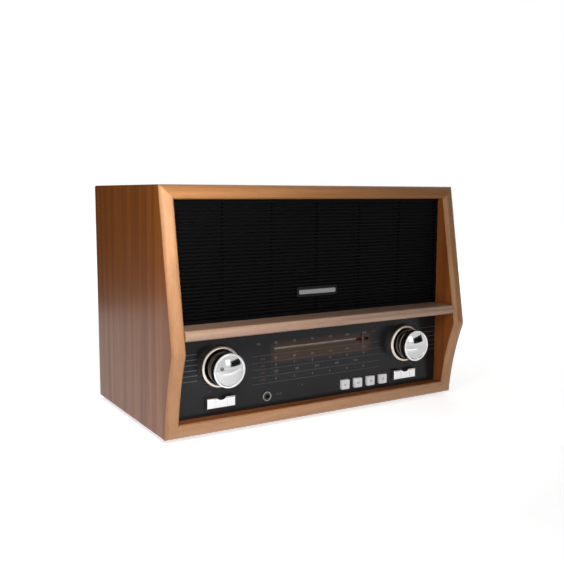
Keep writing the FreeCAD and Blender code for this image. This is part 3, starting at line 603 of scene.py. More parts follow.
black_plastic = moulded("black_plastic", (0.022, 0.022, 0.023), 0.45)
grille_plastic = moulded("grille_plastic", (0.0024, 0.0024, 0.0026), 0.6, dust_amount=0.003,
                         Specular_IOR_Level=0.07)
ivory_plastic = moulded("ivory_nylon", (0.74, 0.70, 0.61), 0.5, dust_amount=0.0)
key_white = moulded("key_white", (0.92, 0.925, 0.93), 0.22, dents=0.03, spread=0.06,
                    dust_amount=0.0, variation=0.04)
needle_red = moulded("needle_red", (0.13, 0.040, 0.038), 0.4, dust_amount=0.0)
rubber = moulded("foot_rubber", (0.022, 0.022, 0.022), 0.75, dents=0.4, dent_scale=1400)
ferrite = moulded("ferrite", (0.055, 0.055, 0.06), 0.6, dents=0.3, dent_scale=700)
cone_paper = moulded("cone_paper", (0.035, 0.034, 0.033), 0.85, dents=0.6, dent_scale=500,
                     dust_amount=0.0, variation=0.3)
component_black = moulded("component_black", (0.05, 0.052, 0.06), 0.4, variation=0.4)
badge_black = moulded("badge_black", (0.004, 0.004, 0.0045), 0.4, dust_amount=0.0,
                      Specular_IOR_Level=0.15)
print("with the mouldings there are", len(bpy.data.materials), "materials")

# %% [markdown]
# ## The dial panel
# The panel is a sheet of dark acrylic, glossy but not a mirror. Round the slot a dim brown glow
# shows, light from the scale's strip that shines through, and it is painted into the panel's colour.
# A separate window of its own colour could be modelled, but the real one is a single sheet, so the
# glow is a soft-edged painted patch in the panel's colour.

# %% The panel's material
panel_low, panel_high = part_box("dial_panel")
# The brown patch round the slot is painted glow: light from the strip, shown as colour
PAINTED_GLOW_DOWN = 3 * MM                        # the tint's middle lies this far below the slot's
PAINTED_GLOW_FADE_X = (49 * MM, 56 * MM)          # the tint fades away between these distances
PAINTED_GLOW_FADE_Z = (6 * MM, 11 * MM)


def acrylic_panel():
    material, tree, shader = start_material("dial_acrylic", (0.012, 0.012, 0.013), 0.2,
                                            Specular_IOR_Level=0.2)
    place = object_place(tree)
    show_handling(tree, shader, place, 0.2, 0.1)
    parts = node(tree, "SeparateXYZ", {"Vector": place}).outputs
    slot = middle_of("pointer_rail")
    across = maths(tree, "ABSOLUTE", maths(tree, "SUBTRACT", parts["X"], slot.x))
    upright = maths(tree, "ABSOLUTE", maths(tree, "SUBTRACT", parts["Z"], slot.z - PAINTED_GLOW_DOWN))
    inside = maths(tree, "MULTIPLY", rescale(tree, across, *PAINTED_GLOW_FADE_X, 1, 0),
                   rescale(tree, upright, *PAINTED_GLOW_FADE_Z, 1, 0))
    unevenness = rescale(tree, noise(tree, place, 45), 0.2, 0.7, 0.7, 1)
    patchy = maths(tree, "MULTIPLY", inside, unevenness)
    # Painted glow: the brown patch is blended into the panel's colour
    painted_glow_colour = blend_colours(tree, patchy, (0.0115, 0.0115, 0.0135, 1), (0.062, 0.034, 0.018, 1))
    lay_dust(tree, shader, place, painted_glow_colour, 0.04)
    return material


dial_acrylic = acrylic_panel()
print("the panel is", round((panel_high.x - panel_low.x) / MM, 1), "mm wide")

# %% [markdown]
# ## Weave
# Speaker cloth is a plain weave, over and under in both directions. Threads could be modelled one
# by one, but there are thousands. Two waves at right angles make the pattern instead, each one
# raised where the other one sinks, and it follows the cloth's own UV map as threads do.

# %% The weave group
def build_weave():
    group, entry, exits = group_of_nodes(
        "Plain weave",
        [("Vector", "Vector", None), ("Across", "Float", 100.0), ("Up", "Float", 100.0)],
        [("Height", "Float"), ("Mask", "Float")])
    parts = node(group, "SeparateXYZ", {"Vector": entry["Vector"]}).outputs
    waves = []
    for along, threads in (("X", "Across"), ("Y", "Up")):
        turns = maths(group, "MULTIPLY", entry[threads], math.pi)
        waves.append(maths(group, "SINE", maths(group, "MULTIPLY", parts[along], turns)))
    first, second = waves
    crossing = maths(group, "MULTIPLY", first, second)
    ridges = maths(group, "ADD", maths(group, "ABSOLUTE", first),
                   maths(group, "ABSOLUTE", second))
    height = weighted_sum(group, (crossing, 0.3), (ridges, 0.35))
    group.links.new(height, exits["Height"])
    group.links.new(rescale(group, height, 0.1, 0.9), exits["Mask"])
    return group


weave = build_weave()
print("the weave takes", len(weave.nodes), "nodes")

# %% [markdown]
# ## Cloth and hardboard
# The cloth is black, with threads a shade paler than the gaps between them. The back is hardboard,
# which is pressed fibre: short, tangled and brown. A plain brown would look like plastic, so noise
# is pulled out of shape until it tangles.

# %% Cloth and hardboard materials
THREADS_ACROSS, THREADS_UP = 548, 196     # over the whole sheet: half a millimetre apart


def speaker_cloth():
    material, tree, shader = start_material("speaker_cloth", (0.008, 0.008, 0.009), 0.95,
                                            Sheen_Weight=0.1)
    sheet = tree.nodes.new("ShaderNodeTexCoord").outputs["UV"]
    cloth = use_group(tree, weave, Vector=sheet, Across=THREADS_ACROSS, Up=THREADS_UP)
    colour = blend_colours(tree, cloth["Mask"], (0.003, 0.003, 0.003, 1), (0.013, 0.013, 0.014, 1))
    tree.links.new(colour, shader.inputs["Base Color"])
    roughen(tree, shader, cloth["Height"], 0.6, 0.0002)
    return material


def hardboard_sheet():
    material, tree, shader = start_material("hardboard", (0.10, 0.065, 0.045), 0.7)
    place = object_place(tree)
    fibres = noise(tree, place, 420, detail=4, roughness=0.7, distortion=2.5)
    broad = noise(tree, place, 18, detail=2)
    tone = rescale(tree, weighted_sum(tree, (fibres, 0.75), (broad, 0.25)), 0.35, 0.65)
    colour = blend_colours(tree, tone, (0.135, 0.088, 0.058, 1), (0.055, 0.036, 0.026, 1))
    lay_dust(tree, shader, place, colour, 0.2)
    roughen(tree, shader, fibres, 0.35, 0.00012)
    return material


cloth_black = speaker_cloth()
hardboard = hardboard_sheet()
print("with cloth and hardboard there are", len(bpy.data.materials), "materials")

# %% [markdown]
# ## Drive cord and circuit board
# The drive cord is plaited, and a slanting wave makes the plait. A circuit board's copper tracks
# show as paler lines under its green lacquer. Real tracks could be drawn one by one, but nobody
# follows them behind the panel, and a brick pattern gives lines of that kind.

# %% Cord and circuit board materials
def braided_cord():
    material, tree, shader = start_material("braided_cord", (0.68, 0.63, 0.54), 0.8)
    plait = node(tree, "TexWave", {"Vector": object_place(tree), "Scale": 420, "Distortion": 1.5},
                 wave_type="BANDS", bands_direction="DIAGONAL").outputs["Fac"]
    colour = blend_colours(tree, plait, (0.74, 0.69, 0.60, 1), (0.46, 0.42, 0.35, 1))
    tree.links.new(colour, shader.inputs["Base Color"])
    roughen(tree, shader, plait, 0.5, 0.0001)
    return material


def circuit_board():
    material, tree, shader = start_material("circuit_board", (0.03, 0.16, 0.06), 0.35)
    place = object_place(tree)
    tracks = node(tree, "TexBrick", {"Vector": place, "Scale": 90, "Mortar Size": 0.045,
                                     "Color1": (0, 0, 0, 1), "Color2": (0, 0, 0, 1),
                                     "Mortar": (1, 1, 1, 1)})
    base = blend_colours(tree, noise(tree, place, 60), (0.020, 0.11, 0.045, 1),
                         (0.032, 0.15, 0.06, 1))
    colour = blend_colours(tree, maths(tree, "MULTIPLY", tracks.outputs["Fac"], 0.6), base,
                           (0.09, 0.30, 0.11, 1))
    tree.links.new(colour, shader.inputs["Base Color"])
    roughen(tree, shader, tracks.outputs["Fac"], 0.3, 0.00004)
    return material


cord_braid = braided_cord()
board_green = circuit_board()
print("with cord and board there are", len(bpy.data.materials), "materials")

# %% [markdown]
# ## Printing ink
# The scale is screen-printed on the panel in pale grey and red, thin enough that the black shows
# through a little, so each ink is darker than it would be on paper. See-through ink could be mixed
# in the shader, but a darker plain colour looks the same here. Ink is a moulded finish with hardly
# a dent, and each colour has its own copy.

# %% Inks
def ink(name, colour):
    return moulded(name, colour, 0.5, dents=0.02, dust_amount=0.0, variation=0.25)


ink_white = ink("ink_white", (0.155, 0.155, 0.150))
ink_grey = ink("ink_grey", (0.084, 0.086, 0.091))
ink_red = ink("ink_red", (0.115, 0.034, 0.032))
ink_dark = ink("ink_dark", (0.36, 0.36, 0.37))
print("with the inks there are", len(bpy.data.materials), "materials")

# %% [markdown]
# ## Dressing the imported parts
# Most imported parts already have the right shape, so they only get a finish. Each could be dressed
# by name, but the record names a material slot for every part, so one table of slots does it. The
# socket's nut is duller than the other steel, and is dressed last.

# %% Finish by slot
FINISHES = {
    "veneer": veneer_upright, "shelf_wood": shelf_wood, "raw_wood": raw_wood,
    "hardboard": hardboard, "grille": grille_plastic, "cloth": cloth_black,
    "badge": badge_black, "panel": dial_acrylic, "brass": bronze, "pointer": needle_red,
    "cord": cord_braid, "ivory_plastic": ivory_plastic, "steel": steel, "chrome": chrome,
    "spun_aluminium": volume_face, "button": key_white, "board": board_green,
    "components": component_black, "black_plastic": black_plastic, "rubber": rubber,
    "paper": cone_paper, "magnet": ferrite,
}

for part in frame["record"]["subparts"]:
    packed = frame["nodes"][part["node"]]
    packed.data.materials.clear()
    packed.data.materials.append(FINISHES[part["material_slot"]])
frame["nodes"]["aux_jack_ring"].data.materials[0] = nickel
print("dressed", len(frame["nodes"]), "packed parts in", len(FINISHES), "finishes")

# %% [markdown]
# ## The cabinet
# The cabinet is one band of four boards, mitred at the corners, and its front is shaped as a
# whole: straight and leaning back above a kink, and slightly hollow below it. Its measures come
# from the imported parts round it, so only the front's own line is written down here.

# %% Cabinet measures
side_low, side_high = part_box("cabinet_right_side")
OUT_X, BACK_Y = side_high.x, side_high.y
FOOT_Z, TOP_Z = side_low.z, side_high.z
IN_X = panel_high.x
IN_Z0, IN_Z1 = panel_low.z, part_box("speaker_grille")[1].z
CORNER_Y = side_low.y - 0.3 * MM          # the kink's corner, before it is rounded
KINK_Z = FOOT_Z + 70.5 * MM
TOP_LEAN = 21.8 * MM                      # how far the front lies back at the top
FOOT_TUCK = 17.0 * MM                     # and at the foot
HOLLOW = 2.8 * MM                         # how far the lower front is hollow
TINY = 0.01 * MM
SHARP = 50                                # an edge is sharp if it turns by more degrees


def front_depth(z):
    """How far the front lies behind the kink's corner at a height."""
    if z >= KINK_Z:
        return TOP_LEAN * (z - KINK_Z) / (TOP_Z - KINK_Z)
    share = (KINK_Z - z) / (KINK_Z - FOOT_Z)
    return FOOT_TUCK * share + 4 * HOLLOW * share * (1 - share)


def on_front(place):
    return abs(place.y - CORNER_Y - front_depth(place.z)) < 0.5 * MM


print("boards are", round((OUT_X - IN_X) / MM, 1), "mm thick")

# %% [markdown]
# Four boards could be made apart, but then their roundings would have to be matched at each mitre.
# So one block is sawn at the levels where the front turns, its front edges are pushed to the
# front's line, and the inside is carved out. The saw's lines on the flat back and sides are then
# dissolved, and every edge that a hand touches is rounded: most at the front, least at the back.

# %% Shape the front, carve the inside and round the edges
HOLLOW_STRIPS = 12
KINK_R = 2.5 * MM
FRONT_R = 4.0 * MM
SIDE_R = 1.5 * MM
BACK_R = 1.0 * MM
RIM_CLEAR = 6 * MM                        # the back's inner edges stay sharp up to here


def shaped_block():
    body = block("cabinet", (-OUT_X, CORNER_Y, FOOT_Z), (OUT_X, BACK_Y, TOP_Z))
    edit(body)
    step = (KINK_Z - FOOT_Z) / HOLLOW_STRIPS
    levels = [FOOT_Z + step * k for k in range(HOLLOW_STRIPS + 1)] + [TOP_Z]
    for level in levels[1:-1]:
        saw((0, 0, level), (0, 0, 1))
    for level in levels:
        pick_corners(lambda p: abs(p.z - level) < TINY and p.y < CORNER_Y + TINY)
        push(0, front_depth(level), 0)
    round_edges(KINK_R, 6, lambda p, turn: abs(p.z - KINK_Z) < TINY and p.y < CORNER_Y + TINY)
    pick_faces(lambda p, normal: normal.y > -0.2)
    bpy.ops.mesh.dissolve_limited(angle_limit=math.radians(0.5))
    leave_edit()
    return body


def off_the_opening(p):
    return abs(p.x) > IN_X + RIM_CLEAR or not IN_Z0 - RIM_CLEAR < p.z < IN_Z1 + RIM_CLEAR


def rounded_shell():
    shell = shaped_block()
    room = 20 * MM
    carve(shell, block("inside", (-IN_X, CORNER_Y - room, IN_Z0), (IN_X, BACK_Y + room, IN_Z1)))
    edit(shell)
    round_edges(FRONT_R, 6, lambda p, turn: turn > SHARP and on_front(p), clamp_overlap=False)
    round_edges(SIDE_R, 3, lambda p, turn: turn > SHARP and abs(p.x) > OUT_X - TINY and
                abs(p.y) < BACK_Y / 2)
    round_edges(BACK_R, 2, lambda p, turn: turn > SHARP and p.y > BACK_Y - TINY and
                off_the_opening(p))
    leave_edit()
    return shell


shell = rounded_shell()
print("the shell has", len(shell.data.polygons), "faces")

# %% [markdown]
# A mitre is a cut at 45 degrees through the corner, so that no end grain shows. Each board is a
# copy of the whole shell with its neighbours sawn off by two such cuts, which are then filled.
# Painting the boundary on one mesh would be simpler, but a real joint is a cut through the wood.
# Front faces get the lipping's wood, the walls of the opening a walnut whose colour is painted
# light and shade, and the rest veneer.

# %% Cut the shell into four mitred boards
# Each cut: the corner it starts from, and the side of it that is thrown away
MITRES = {
    "left_side": [(-OUT_X, FOOT_Z, 1, -1), (-OUT_X, TOP_Z, 1, 1)],
    "right_side": [(OUT_X, FOOT_Z, -1, -1), (OUT_X, TOP_Z, -1, 1)],
    "bottom": [(-OUT_X, FOOT_Z, -1, 1), (OUT_X, FOOT_Z, 1, 1)],
    "top": [(-OUT_X, TOP_Z, -1, -1), (OUT_X, TOP_Z, 1, -1)],
}
UPRIGHT_BOARD = (veneer_upright, lipping_upright, inner_upright_painted_light)
BOARD_FINISHES = {
    "left_side": UPRIGHT_BOARD,
    "right_side": UPRIGHT_BOARD,
    "bottom": (veneer_level, lipping_level, inner_level_painted_light),
    "top": (veneer_level, lipping_top_painted_shade, inner_level_painted_light),
}


def is_lipping(p, normal):
    return normal.y < -0.3 and p.y < 0


def is_inner_wall(p, normal):
    return abs(normal.y) < 0.1 and abs(p.x) < IN_X + TINY and IN_Z0 - TINY < p.z < IN_Z1 + TINY


def cut_board(name, cuts):
    board = copy_piece(shell, name + "_board")
    for finish in BOARD_FINISHES[name]:
        board.data.materials.append(finish)
    edit(board)
    for x, z, away_x, away_z in cuts:
        bpy.ops.mesh.select_all(action="SELECT")
        bpy.ops.mesh.bisect(plane_co=(x, 0, z), plane_no=(away_x, 0, away_z), use_fill=True,
                            clear_outer=True)
    for finish, wanted in ((1, is_lipping), (2, is_inner_wall)):
        pick_faces(wanted)
        board.active_material_index = finish
        bpy.ops.object.material_slot_assign()
    leave_edit()
    soften(board)
    return board


for name, cuts in MITRES.items():
    dress(cut_board(name, cuts), "cabinet", ["cabinet_" + name])
bpy.data.objects.remove(shell)
print("four boards, and the shell is cut up")

# %% [markdown]
# ## The shelf
# A single rail of rose-coloured wood stands between the two bays. Its front edge is rounded over
# at the top and the bottom, and is crowned a little between. It is the brightest line across the
# front. Rounding alone would leave a flat band that shines all at once, so the middle is sawn and
# all the rest is pushed back a hair, which makes the crown.

# %% Shelf
SHELF_R = 3.2 * MM
CROWN = 0.3 * MM


def divider_shelf():
    low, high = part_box("divider_shelf")
    shelf = block("shelf_rail", low, high)
    middle = (low.z + high.z) / 2
    edit(shelf)
    round_edges(SHELF_R, 6, lambda p, turn: p.y < low.y + TINY and abs(p.x) < TINY)
    saw((0, 0, middle), (0, 0, 1))
    pick_corners(lambda p: p.y < low.y + SHELF_R + 0.1 * MM and abs(p.z - middle) > 1.2 * MM)
    push(0, CROWN, 0)
    leave_edit()
    soften(shelf)
    return shelf


dress(divider_shelf(), "cabinet", ["divider_shelf"], [shelf_wood])

# %% [markdown]
# ## Speaker cloth
# Black cloth is stretched over the baffle behind the louvres, so one sees it only as the dark
# between the slats. Loose cloth would need a simulation, but cloth that is pulled tight on a flat
# board is flat. It is a plain grid, given the thickness of cloth at the end.

# %% Speaker cloth
CLOTH_T = 0.4 * MM


def stretched_cloth():
    low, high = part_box("grille_cloth")
    width, height = high.x - low.x, high.z - low.z
    bpy.ops.object.select_all(action="DESELECT")
    bpy.ops.mesh.primitive_grid_add(x_subdivisions=60, y_subdivisions=22, size=1,
                                    location=(low + high) / 2, rotation=(math.pi / 2, 0, 0))
    bpy.context.object.scale = (width, height, 1)
    cloth = settle("speaker_cloth")
    use_modifier(cloth, "SOLIDIFY", thickness=CLOTH_T, offset=0)
    smooth(cloth, 35)
    return cloth, (width, height)


speaker_cloth_sheet, cloth_size = stretched_cloth()
dress(speaker_cloth_sheet, "cabinet", ["grille_cloth"], [cloth_black])

# %% [markdown]
# ## Knobs
# Each knob is a chromed shell with a fluted grip round its front, a waist, and a plain skirt that
# sinks into its ring. A turned profile could be spun, but flutes need single faces on the side, so
# a bar with many sides is sawn into bands: one band is narrowed for the waist, and every second
# face of the grip is pressed in. Inset steps then roll the front lip and hollow out the back. The
# front is chrome, and the rest has a dark metal: that is a painted reflection, the dark that a
# mirror shows where it faces a dark gap.

# %% Knob body
KNOB_SIDES = 96
LIP_BACK = 1.0                            # depths in millimetres behind the knob's front
GRIP = (1.7, 6.1)
WAIST = (7.2, 8.0)
SHOULDER, SKIRT = 6.8, 8.4
BANDS = (*GRIP, SHOULDER, *WAIST, SKIRT)
WAIST_IN, SKIRT_IN, FLUTE_IN = 0.9 * MM, 0.5 * MM, 0.22 * MM
# Inset steps in millimetres: inwards, then outwards
LIP_STEPS = [(0.2, 0.55), (0.5, 0.35), (0.5, 0.1), (0.5, -0.1), (0.35, -0.4), (0.05, -2.0)]
BACK_STEPS = [(0.3, 0.0), (0.85, 0.0), (0.05, -11.2), (7.3, 0.0), (0.05, 9.2)]


def steps_in(steps):
    """Inset the selected face again and again."""
    for inwards, outwards in steps:
        bpy.ops.mesh.inset(thickness=inwards * MM, depth=outwards * MM)


def press_flutes(middle, y0, y1):
    """Push in every second side face of one band."""
    side = 2 * math.pi / KNOB_SIDES

    def is_flute(place, normal):
        turn = math.atan2(place.z - middle.z, place.x - middle.x)
        return y0 < place.y < y1 and abs(normal.y) < 0.1 and math.floor(turn / side) % 2 == 0

    pick_faces(is_flute)
    bpy.ops.mesh.extrude_faces_move(TRANSFORM_OT_shrink_fatten={"value": -FLUTE_IN})


def narrow(middle, radius, less, y0, y1):
    """Make the band between two depths thinner."""
    pick_corners(lambda p: y0 < p.y < y1)
    grow(middle, 1 - less / radius, 1 - less / radius)


def knob_body(name, low, high):
    middle = (low + high) / 2
    radius = (high.x - low.x) / 2
    front = low.y
    knob = round_bar(name, middle.x, middle.z, radius, front + LIP_BACK * MM, high.y, KNOB_SIDES)
    edit(knob)
    for depth in BANDS:
        saw((0, front + depth * MM, 0), (0, 1, 0))
    slack = 0.1 * MM
    narrow(middle, radius, WAIST_IN, front + WAIST[0] * MM - slack, front + WAIST[1] * MM + slack)
    narrow(middle, radius, SKIRT_IN, front + SKIRT * MM - slack, high.y + slack)
    pick_faces(lambda p, normal: normal.y < -0.9)
    steps_in(LIP_STEPS)
    pick_faces(lambda p, normal: normal.y > 0.9 and p.y > high.y - TINY)
    steps_in(BACK_STEPS)
    press_flutes(middle, front + GRIP[0] * MM, front + GRIP[1] * MM)
    pick_faces(lambda p, normal: p.y < front + (LIP_BACK + 0.2) * MM)
    leave_edit()
    knob.data.materials.append(chrome)
    # The rest of the knob: a dark metal, which is a painted dark reflection
    knob.data.materials.append(chrome_painted_dark)
    for face in knob.data.polygons:
        face.material_index = 0 if face.select else 1
    soften(knob, 28)
    return knob


def way_to_twin(first, second):
    """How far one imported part's twin lies from it."""
    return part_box(second)[0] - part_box(first)[0]


volume_body = knob_body("volume_knob_body", *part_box("volume_knob"))
tuning_body = copy_piece(volume_body, "tuning_knob_body",
                         way_to_twin("volume_knob", "tuning_knob"))
dress(volume_body, "volume", ["volume_knob"])
dress(tuning_body, "tuning", ["tuning_knob"])

# %% [markdown]
# Each knob stands in a raised ring of chrome, whose warm tint is a painted reflection of the wood
# round it. Its crest is broad and falls away outwards, so that it catches the room as a wide bright
# crescent, and only a narrow edge drops to the hole. A torus would be quicker, but its crest is
# evenly round and gives a thin line. So a disc's face is stepped inwards along the wanted curve,
# and the hole is cut out last.

# %% Rings round the knobs
RING_HOLE = 15.0 * MM
CREST_H = 1.75 * MM
CREST_STEPS = [(0.08, 0.35), (0.17, 0.35), (0.3, 0.35), (0.4, 0.3), (0.45, 0.22),
               (0.45, 0.13), (0.3, 0.05), (0.15, -0.05), (0.15, -0.15), (0.1, -0.3)]


def knob_ring(name, low, high):
    middle = (low + high) / 2
    ring = round_bar(name, middle.x, middle.z, (high.x - low.x) / 2, low.y + CREST_H, high.y,
                     KNOB_SIDES)
    edit(ring)
    pick_faces(lambda p, normal: normal.y < -0.9)
    steps_in(CREST_STEPS)
    leave_edit()
    carve(ring, round_bar("hole", middle.x, middle.z, RING_HOLE, low.y - MM, high.y + MM,
                          KNOB_SIDES))
    soften(ring, 40)
    return ring


volume_ring = knob_ring("volume_ring", *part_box("volume_bezel"))
tuning_ring = copy_piece(volume_ring, "tuning_ring", way_to_twin("volume_bezel", "tuning_bezel"))
dress(volume_ring, "cabinet", ["volume_bezel"], [chrome_painted_warm])
dress(tuning_ring, "cabinet", ["tuning_bezel"], [chrome_painted_warm])

# %% [markdown]
# The face plate is a shallow dome of polished metal. A sphere could be cut down, but its rings
# would not run round the rim. Instead a disc's face is inset ring by ring, and each ring is raised
# to the height that the sphere's formula gives. The volume plate has one small dimple as a mark.

# %% Face plates
DOME_RINGS = 14
PLATE_EDGE = 2.0 * MM
DIMPLE_TURN, DIMPLE_REACH = math.radians(162), 8.2 * MM
DIMPLE_R, DIMPLE_OUT = 1.9 * MM, 1.1 * MM


def sphere_under(radius, crown):
    """Radius of the sphere of which a cap with this rim radius and height is a part."""
    return (radius * radius + crown * crown) / (2 * crown)


def face_plate(name, low, high):
    middle = (low + high) / 2
    radius = (high.x - low.x) / 2
    rim_y = high.y - PLATE_EDGE
    sphere = sphere_under(radius, rim_y - low.y)
    plate = round_bar(name, middle.x, middle.z, radius, rim_y, high.y, KNOB_SIDES)
    edit(plate)
    pick_faces(lambda p, normal: normal.y < -0.9)
    height = 0.0
    for ring in range(1, DOME_RINGS):
        reach = radius * (1 - ring / DOME_RINGS)
        raised = math.sqrt(sphere ** 2 - reach ** 2) - sphere + (rim_y - low.y)
        bpy.ops.mesh.inset(thickness=radius / DOME_RINGS, depth=raised - height)
        height = raised
    bpy.ops.mesh.poke(offset=rim_y - low.y - height)
    leave_edit()
    return plate


def press_dimple(plate, low, high):
    """Press a small round hollow into a plate, where a fingertip finds it."""
    middle = (low + high) / 2
    sphere = sphere_under((high.x - low.x) / 2, high.y - PLATE_EDGE - low.y)
    surface = low.y + sphere - math.sqrt(sphere ** 2 - DIMPLE_REACH ** 2)
    bpy.ops.object.select_all(action="DESELECT")
    bpy.ops.mesh.primitive_uv_sphere_add(
        segments=24, ring_count=16, radius=DIMPLE_R,
        location=(middle.x + DIMPLE_REACH * math.cos(DIMPLE_TURN), surface - DIMPLE_OUT,
                  middle.z + DIMPLE_REACH * math.sin(DIMPLE_TURN)))
    dimple = settle("dimple")
    for shape in (plate, dimple):
        shape.data.materials.append(volume_face)
        # The dimple's hollow is given the same darker metal
        shape.data.materials.append(chrome_painted_dark)
    for face in dimple.data.polygons:
        face.material_index = 1
    carve(plate, dimple)


volume_cap_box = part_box("volume_knob_cap")
tuning_cap_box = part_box("tuning_knob_cap")
volume_plate = face_plate("volume_face_plate", *volume_cap_box)
tuning_plate = face_plate("tuning_face_plate", *tuning_cap_box)
press_dimple(volume_plate, *volume_cap_box)
for plate in (volume_plate, tuning_plate):
    smooth(plate, 30)
dress(volume_plate, "volume", ["volume_knob_cap"])
dress(tuning_plate, "tuning", ["tuning_knob_cap"], [tuning_face])

# %% [markdown]
# ## Slide switches
# The two sliders are bright chromed bars with a scoop for a fingertip in the middle of the top
# edge, and a short engraved line each side of it. Behind the cap a stem goes through the panel.
# A flat face is copied in place, shrunk and pulled out for the stem, which is how one extrudes a
# narrower part from a wider one.

# %% Slide switch caps
CAP_DEEP = 4.3 * MM
STEM_WIDE, STEM_HIGH = 4 * MM, 3.2 * MM
CAP_R, SCOOP_EDGE_R = 1.4 * MM, 0.35 * MM
SCOOP_R = 5.4 * MM                        # the scoop's radius; the lines stand at its ends
SCOOP_UP = 3.2 * MM                       # its axis lies this far above the cap
LINE_HALF, LINE_UP, LINE_DEEP = 0.3 * MM, 2.6 * MM, 0.5 * MM


def engrave_lines(middle):
    """Sink a short upright line each side of the middle."""
    for side in (-1, 1):
        for edge in (-LINE_HALF, LINE_HALF):
            saw((middle.x + side * SCOOP_R + edge, 0, 0), (1, 0, 0))
        saw((0, 0, middle.z + side * LINE_UP), (0, 0, 1))
    pick_faces(lambda p, normal: normal.y < -0.9 and abs(p.z - middle.z) < LINE_UP and
               abs(abs(p.x - middle.x) - SCOOP_R) < LINE_HALF)
    extrude(0, LINE_DEEP, 0)


def slider_cap(name, low, high):
    middle = (low + high) / 2
    back = low.y + CAP_DEEP
    cap = block(name, low, (high.x, back, high.z))
    edit(cap)
    pick_faces(lambda p, normal: normal.y > 0.9)
    extrude(0, 0, 0)
    grow((middle.x, back, middle.z), STEM_WIDE / (high.x - low.x), STEM_HIGH / (high.z - low.z))
    extrude(0, high.y - back, 0)
    round_edges(CAP_R, 6, lambda p, turn: p.y < low.y + TINY)
    engrave_lines(middle)
    leave_edit()
    scoop_z = high.z + SCOOP_UP
    carve(cap, round_bar("finger", middle.x, scoop_z, SCOOP_R, low.y - CAP_DEEP, back, 64))
    edit(cap)
    round_edges(SCOOP_EDGE_R, 3, lambda p, turn: turn > SHARP and p.y < back - TINY and
                abs(math.hypot(p.x - middle.x, p.z - scoop_z) - SCOOP_R) < 0.05 * MM)
    leave_edit()
    soften(cap, 32)
    return cap


function_cap = slider_cap("function_slider", *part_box("function_switch_cap"))
band_cap = copy_piece(function_cap, "band_slider",
                      way_to_twin("function_switch_cap", "band_switch_cap"))
dress(function_cap, "function_switch", ["function_switch_cap"], [chrome])
dress(band_cap, "band_switch", ["band_switch_cap"], [chrome])

# %% [markdown]
# ## Keys
# Four small square keys of white plastic. Each has rounded corners, a slightly dished top and,
# behind the panel, a flange that stops it from falling out and a stem that presses its switch.
# The dish could be carved with a ball, but two small inset steps give the same soft shade. One key
# is modelled and the other three are copies.

# %% Keys
FLANGE_X, FLANGE_Z, FLANGE_T = 0.9 * MM, 0.8 * MM, 1.0 * MM
SHOULDER_BACK = 0.45 * MM                 # the flange starts this far behind the panel
STEM_SHARE = 0.35
KEY_CORNER_R, KEY_TOP_R, KEY_RIM = 1.0 * MM, 0.6 * MM, 0.3 * MM
DISH = 0.3 * MM


def square_key(name, low, high):
    middle = (low + high) / 2
    wide, tall = high.x - low.x, high.z - low.z
    shoulder = panel_high.y + SHOULDER_BACK
    centre = (middle.x, shoulder, middle.z)
    key = block(name, (low.x + FLANGE_X, low.y, low.z + FLANGE_Z),
                (high.x - FLANGE_X, shoulder, high.z - FLANGE_Z))
    edit(key)
    pick_faces(lambda p, normal: normal.y > 0.9)
    extrude(0, 0, 0)
    grow(centre, wide / (wide - 2 * FLANGE_X), tall / (tall - 2 * FLANGE_Z))
    extrude(0, FLANGE_T, 0)
    extrude(0, 0, 0)
    grow(centre, STEM_SHARE, STEM_SHARE)
    extrude(0, high.y - shoulder - FLANGE_T, 0)
    round_edges(KEY_CORNER_R, 5, lambda p, turn: turn > SHARP and p.x != middle.x and
                low.y + TINY < p.y < shoulder - TINY)
    round_edges(KEY_TOP_R, 4, lambda p, turn: turn > SHARP and p.y < low.y + TINY)
    pick_faces(lambda p, normal: normal.y < -0.99 and p.y < low.y + TINY)
    bpy.ops.mesh.inset(thickness=KEY_RIM)
    for share in (0.8, 0.75):
        extrude(0, DISH / 2, 0)
        grow(centre, share, share)
    leave_edit()
    soften(key, 32)
    return key


key_boxes = [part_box("button_%d" % number) for number in range(1, 5)]
keys = [square_key("key_cap_1", *key_boxes[0])]
keys += [copy_piece(keys[0], "key_cap_%d" % number, way_to_twin("button_1", "button_%d" % number))
         for number in range(2, 5)]
for number, key in enumerate(keys, start=1):
    dress(key, "key_%d" % number, ["button_%d" % number], [key_white])

# %% [markdown]
# The keys carry the plain signs that players have: back, pause, forward and record. They could be
# drawn in the keys' material, but thin solids of ink stay sharp and can be picked and recoloured.
# Each sign is put together from a triangle, bars or a ring, and sinks a hair into its key's dish.

# %% Marks on the keys
MARK_T = 0.05 * MM
MARK_OUT = 0.01 * MM                      # how far the ink stands out of the dish
BAR_HALF_WIDE, BAR_HALF_TALL = 0.2 * MM, 0.95 * MM
TRIANGLE_R, RING_R, RING_HOLE_R = 1.05 * MM, 1.3 * MM, 0.85 * MM


def triangle(x, y, z, points_to=1):
    """A small printed triangle that points to -1, left, or 1, right."""
    bpy.ops.object.select_all(action="DESELECT")
    bpy.ops.mesh.primitive_cylinder_add(vertices=3, radius=TRIANGLE_R, depth=MARK_T,
                                        location=(x, y, z),
                                        rotation=(math.pi / 2, points_to * math.pi / 2, 0))
    return settle("triangle")


def left_triangle(x, y, z):
    return triangle(x, y, z, -1)


def upright_bar(x, y, z):
    half = Vector((BAR_HALF_WIDE, MARK_T / 2, BAR_HALF_TALL))
    middle = Vector((x, y, z))
    return block("bar", middle - half, middle + half)


def ring_mark(x, y, z):
    ring = round_bar("ring", x, z, RING_R, y - MARK_T / 2, y + MARK_T / 2, 32)
    carve(ring, round_bar("hole", x, z, RING_HOLE_R, y - MM, y + MM, 32))
    return ring


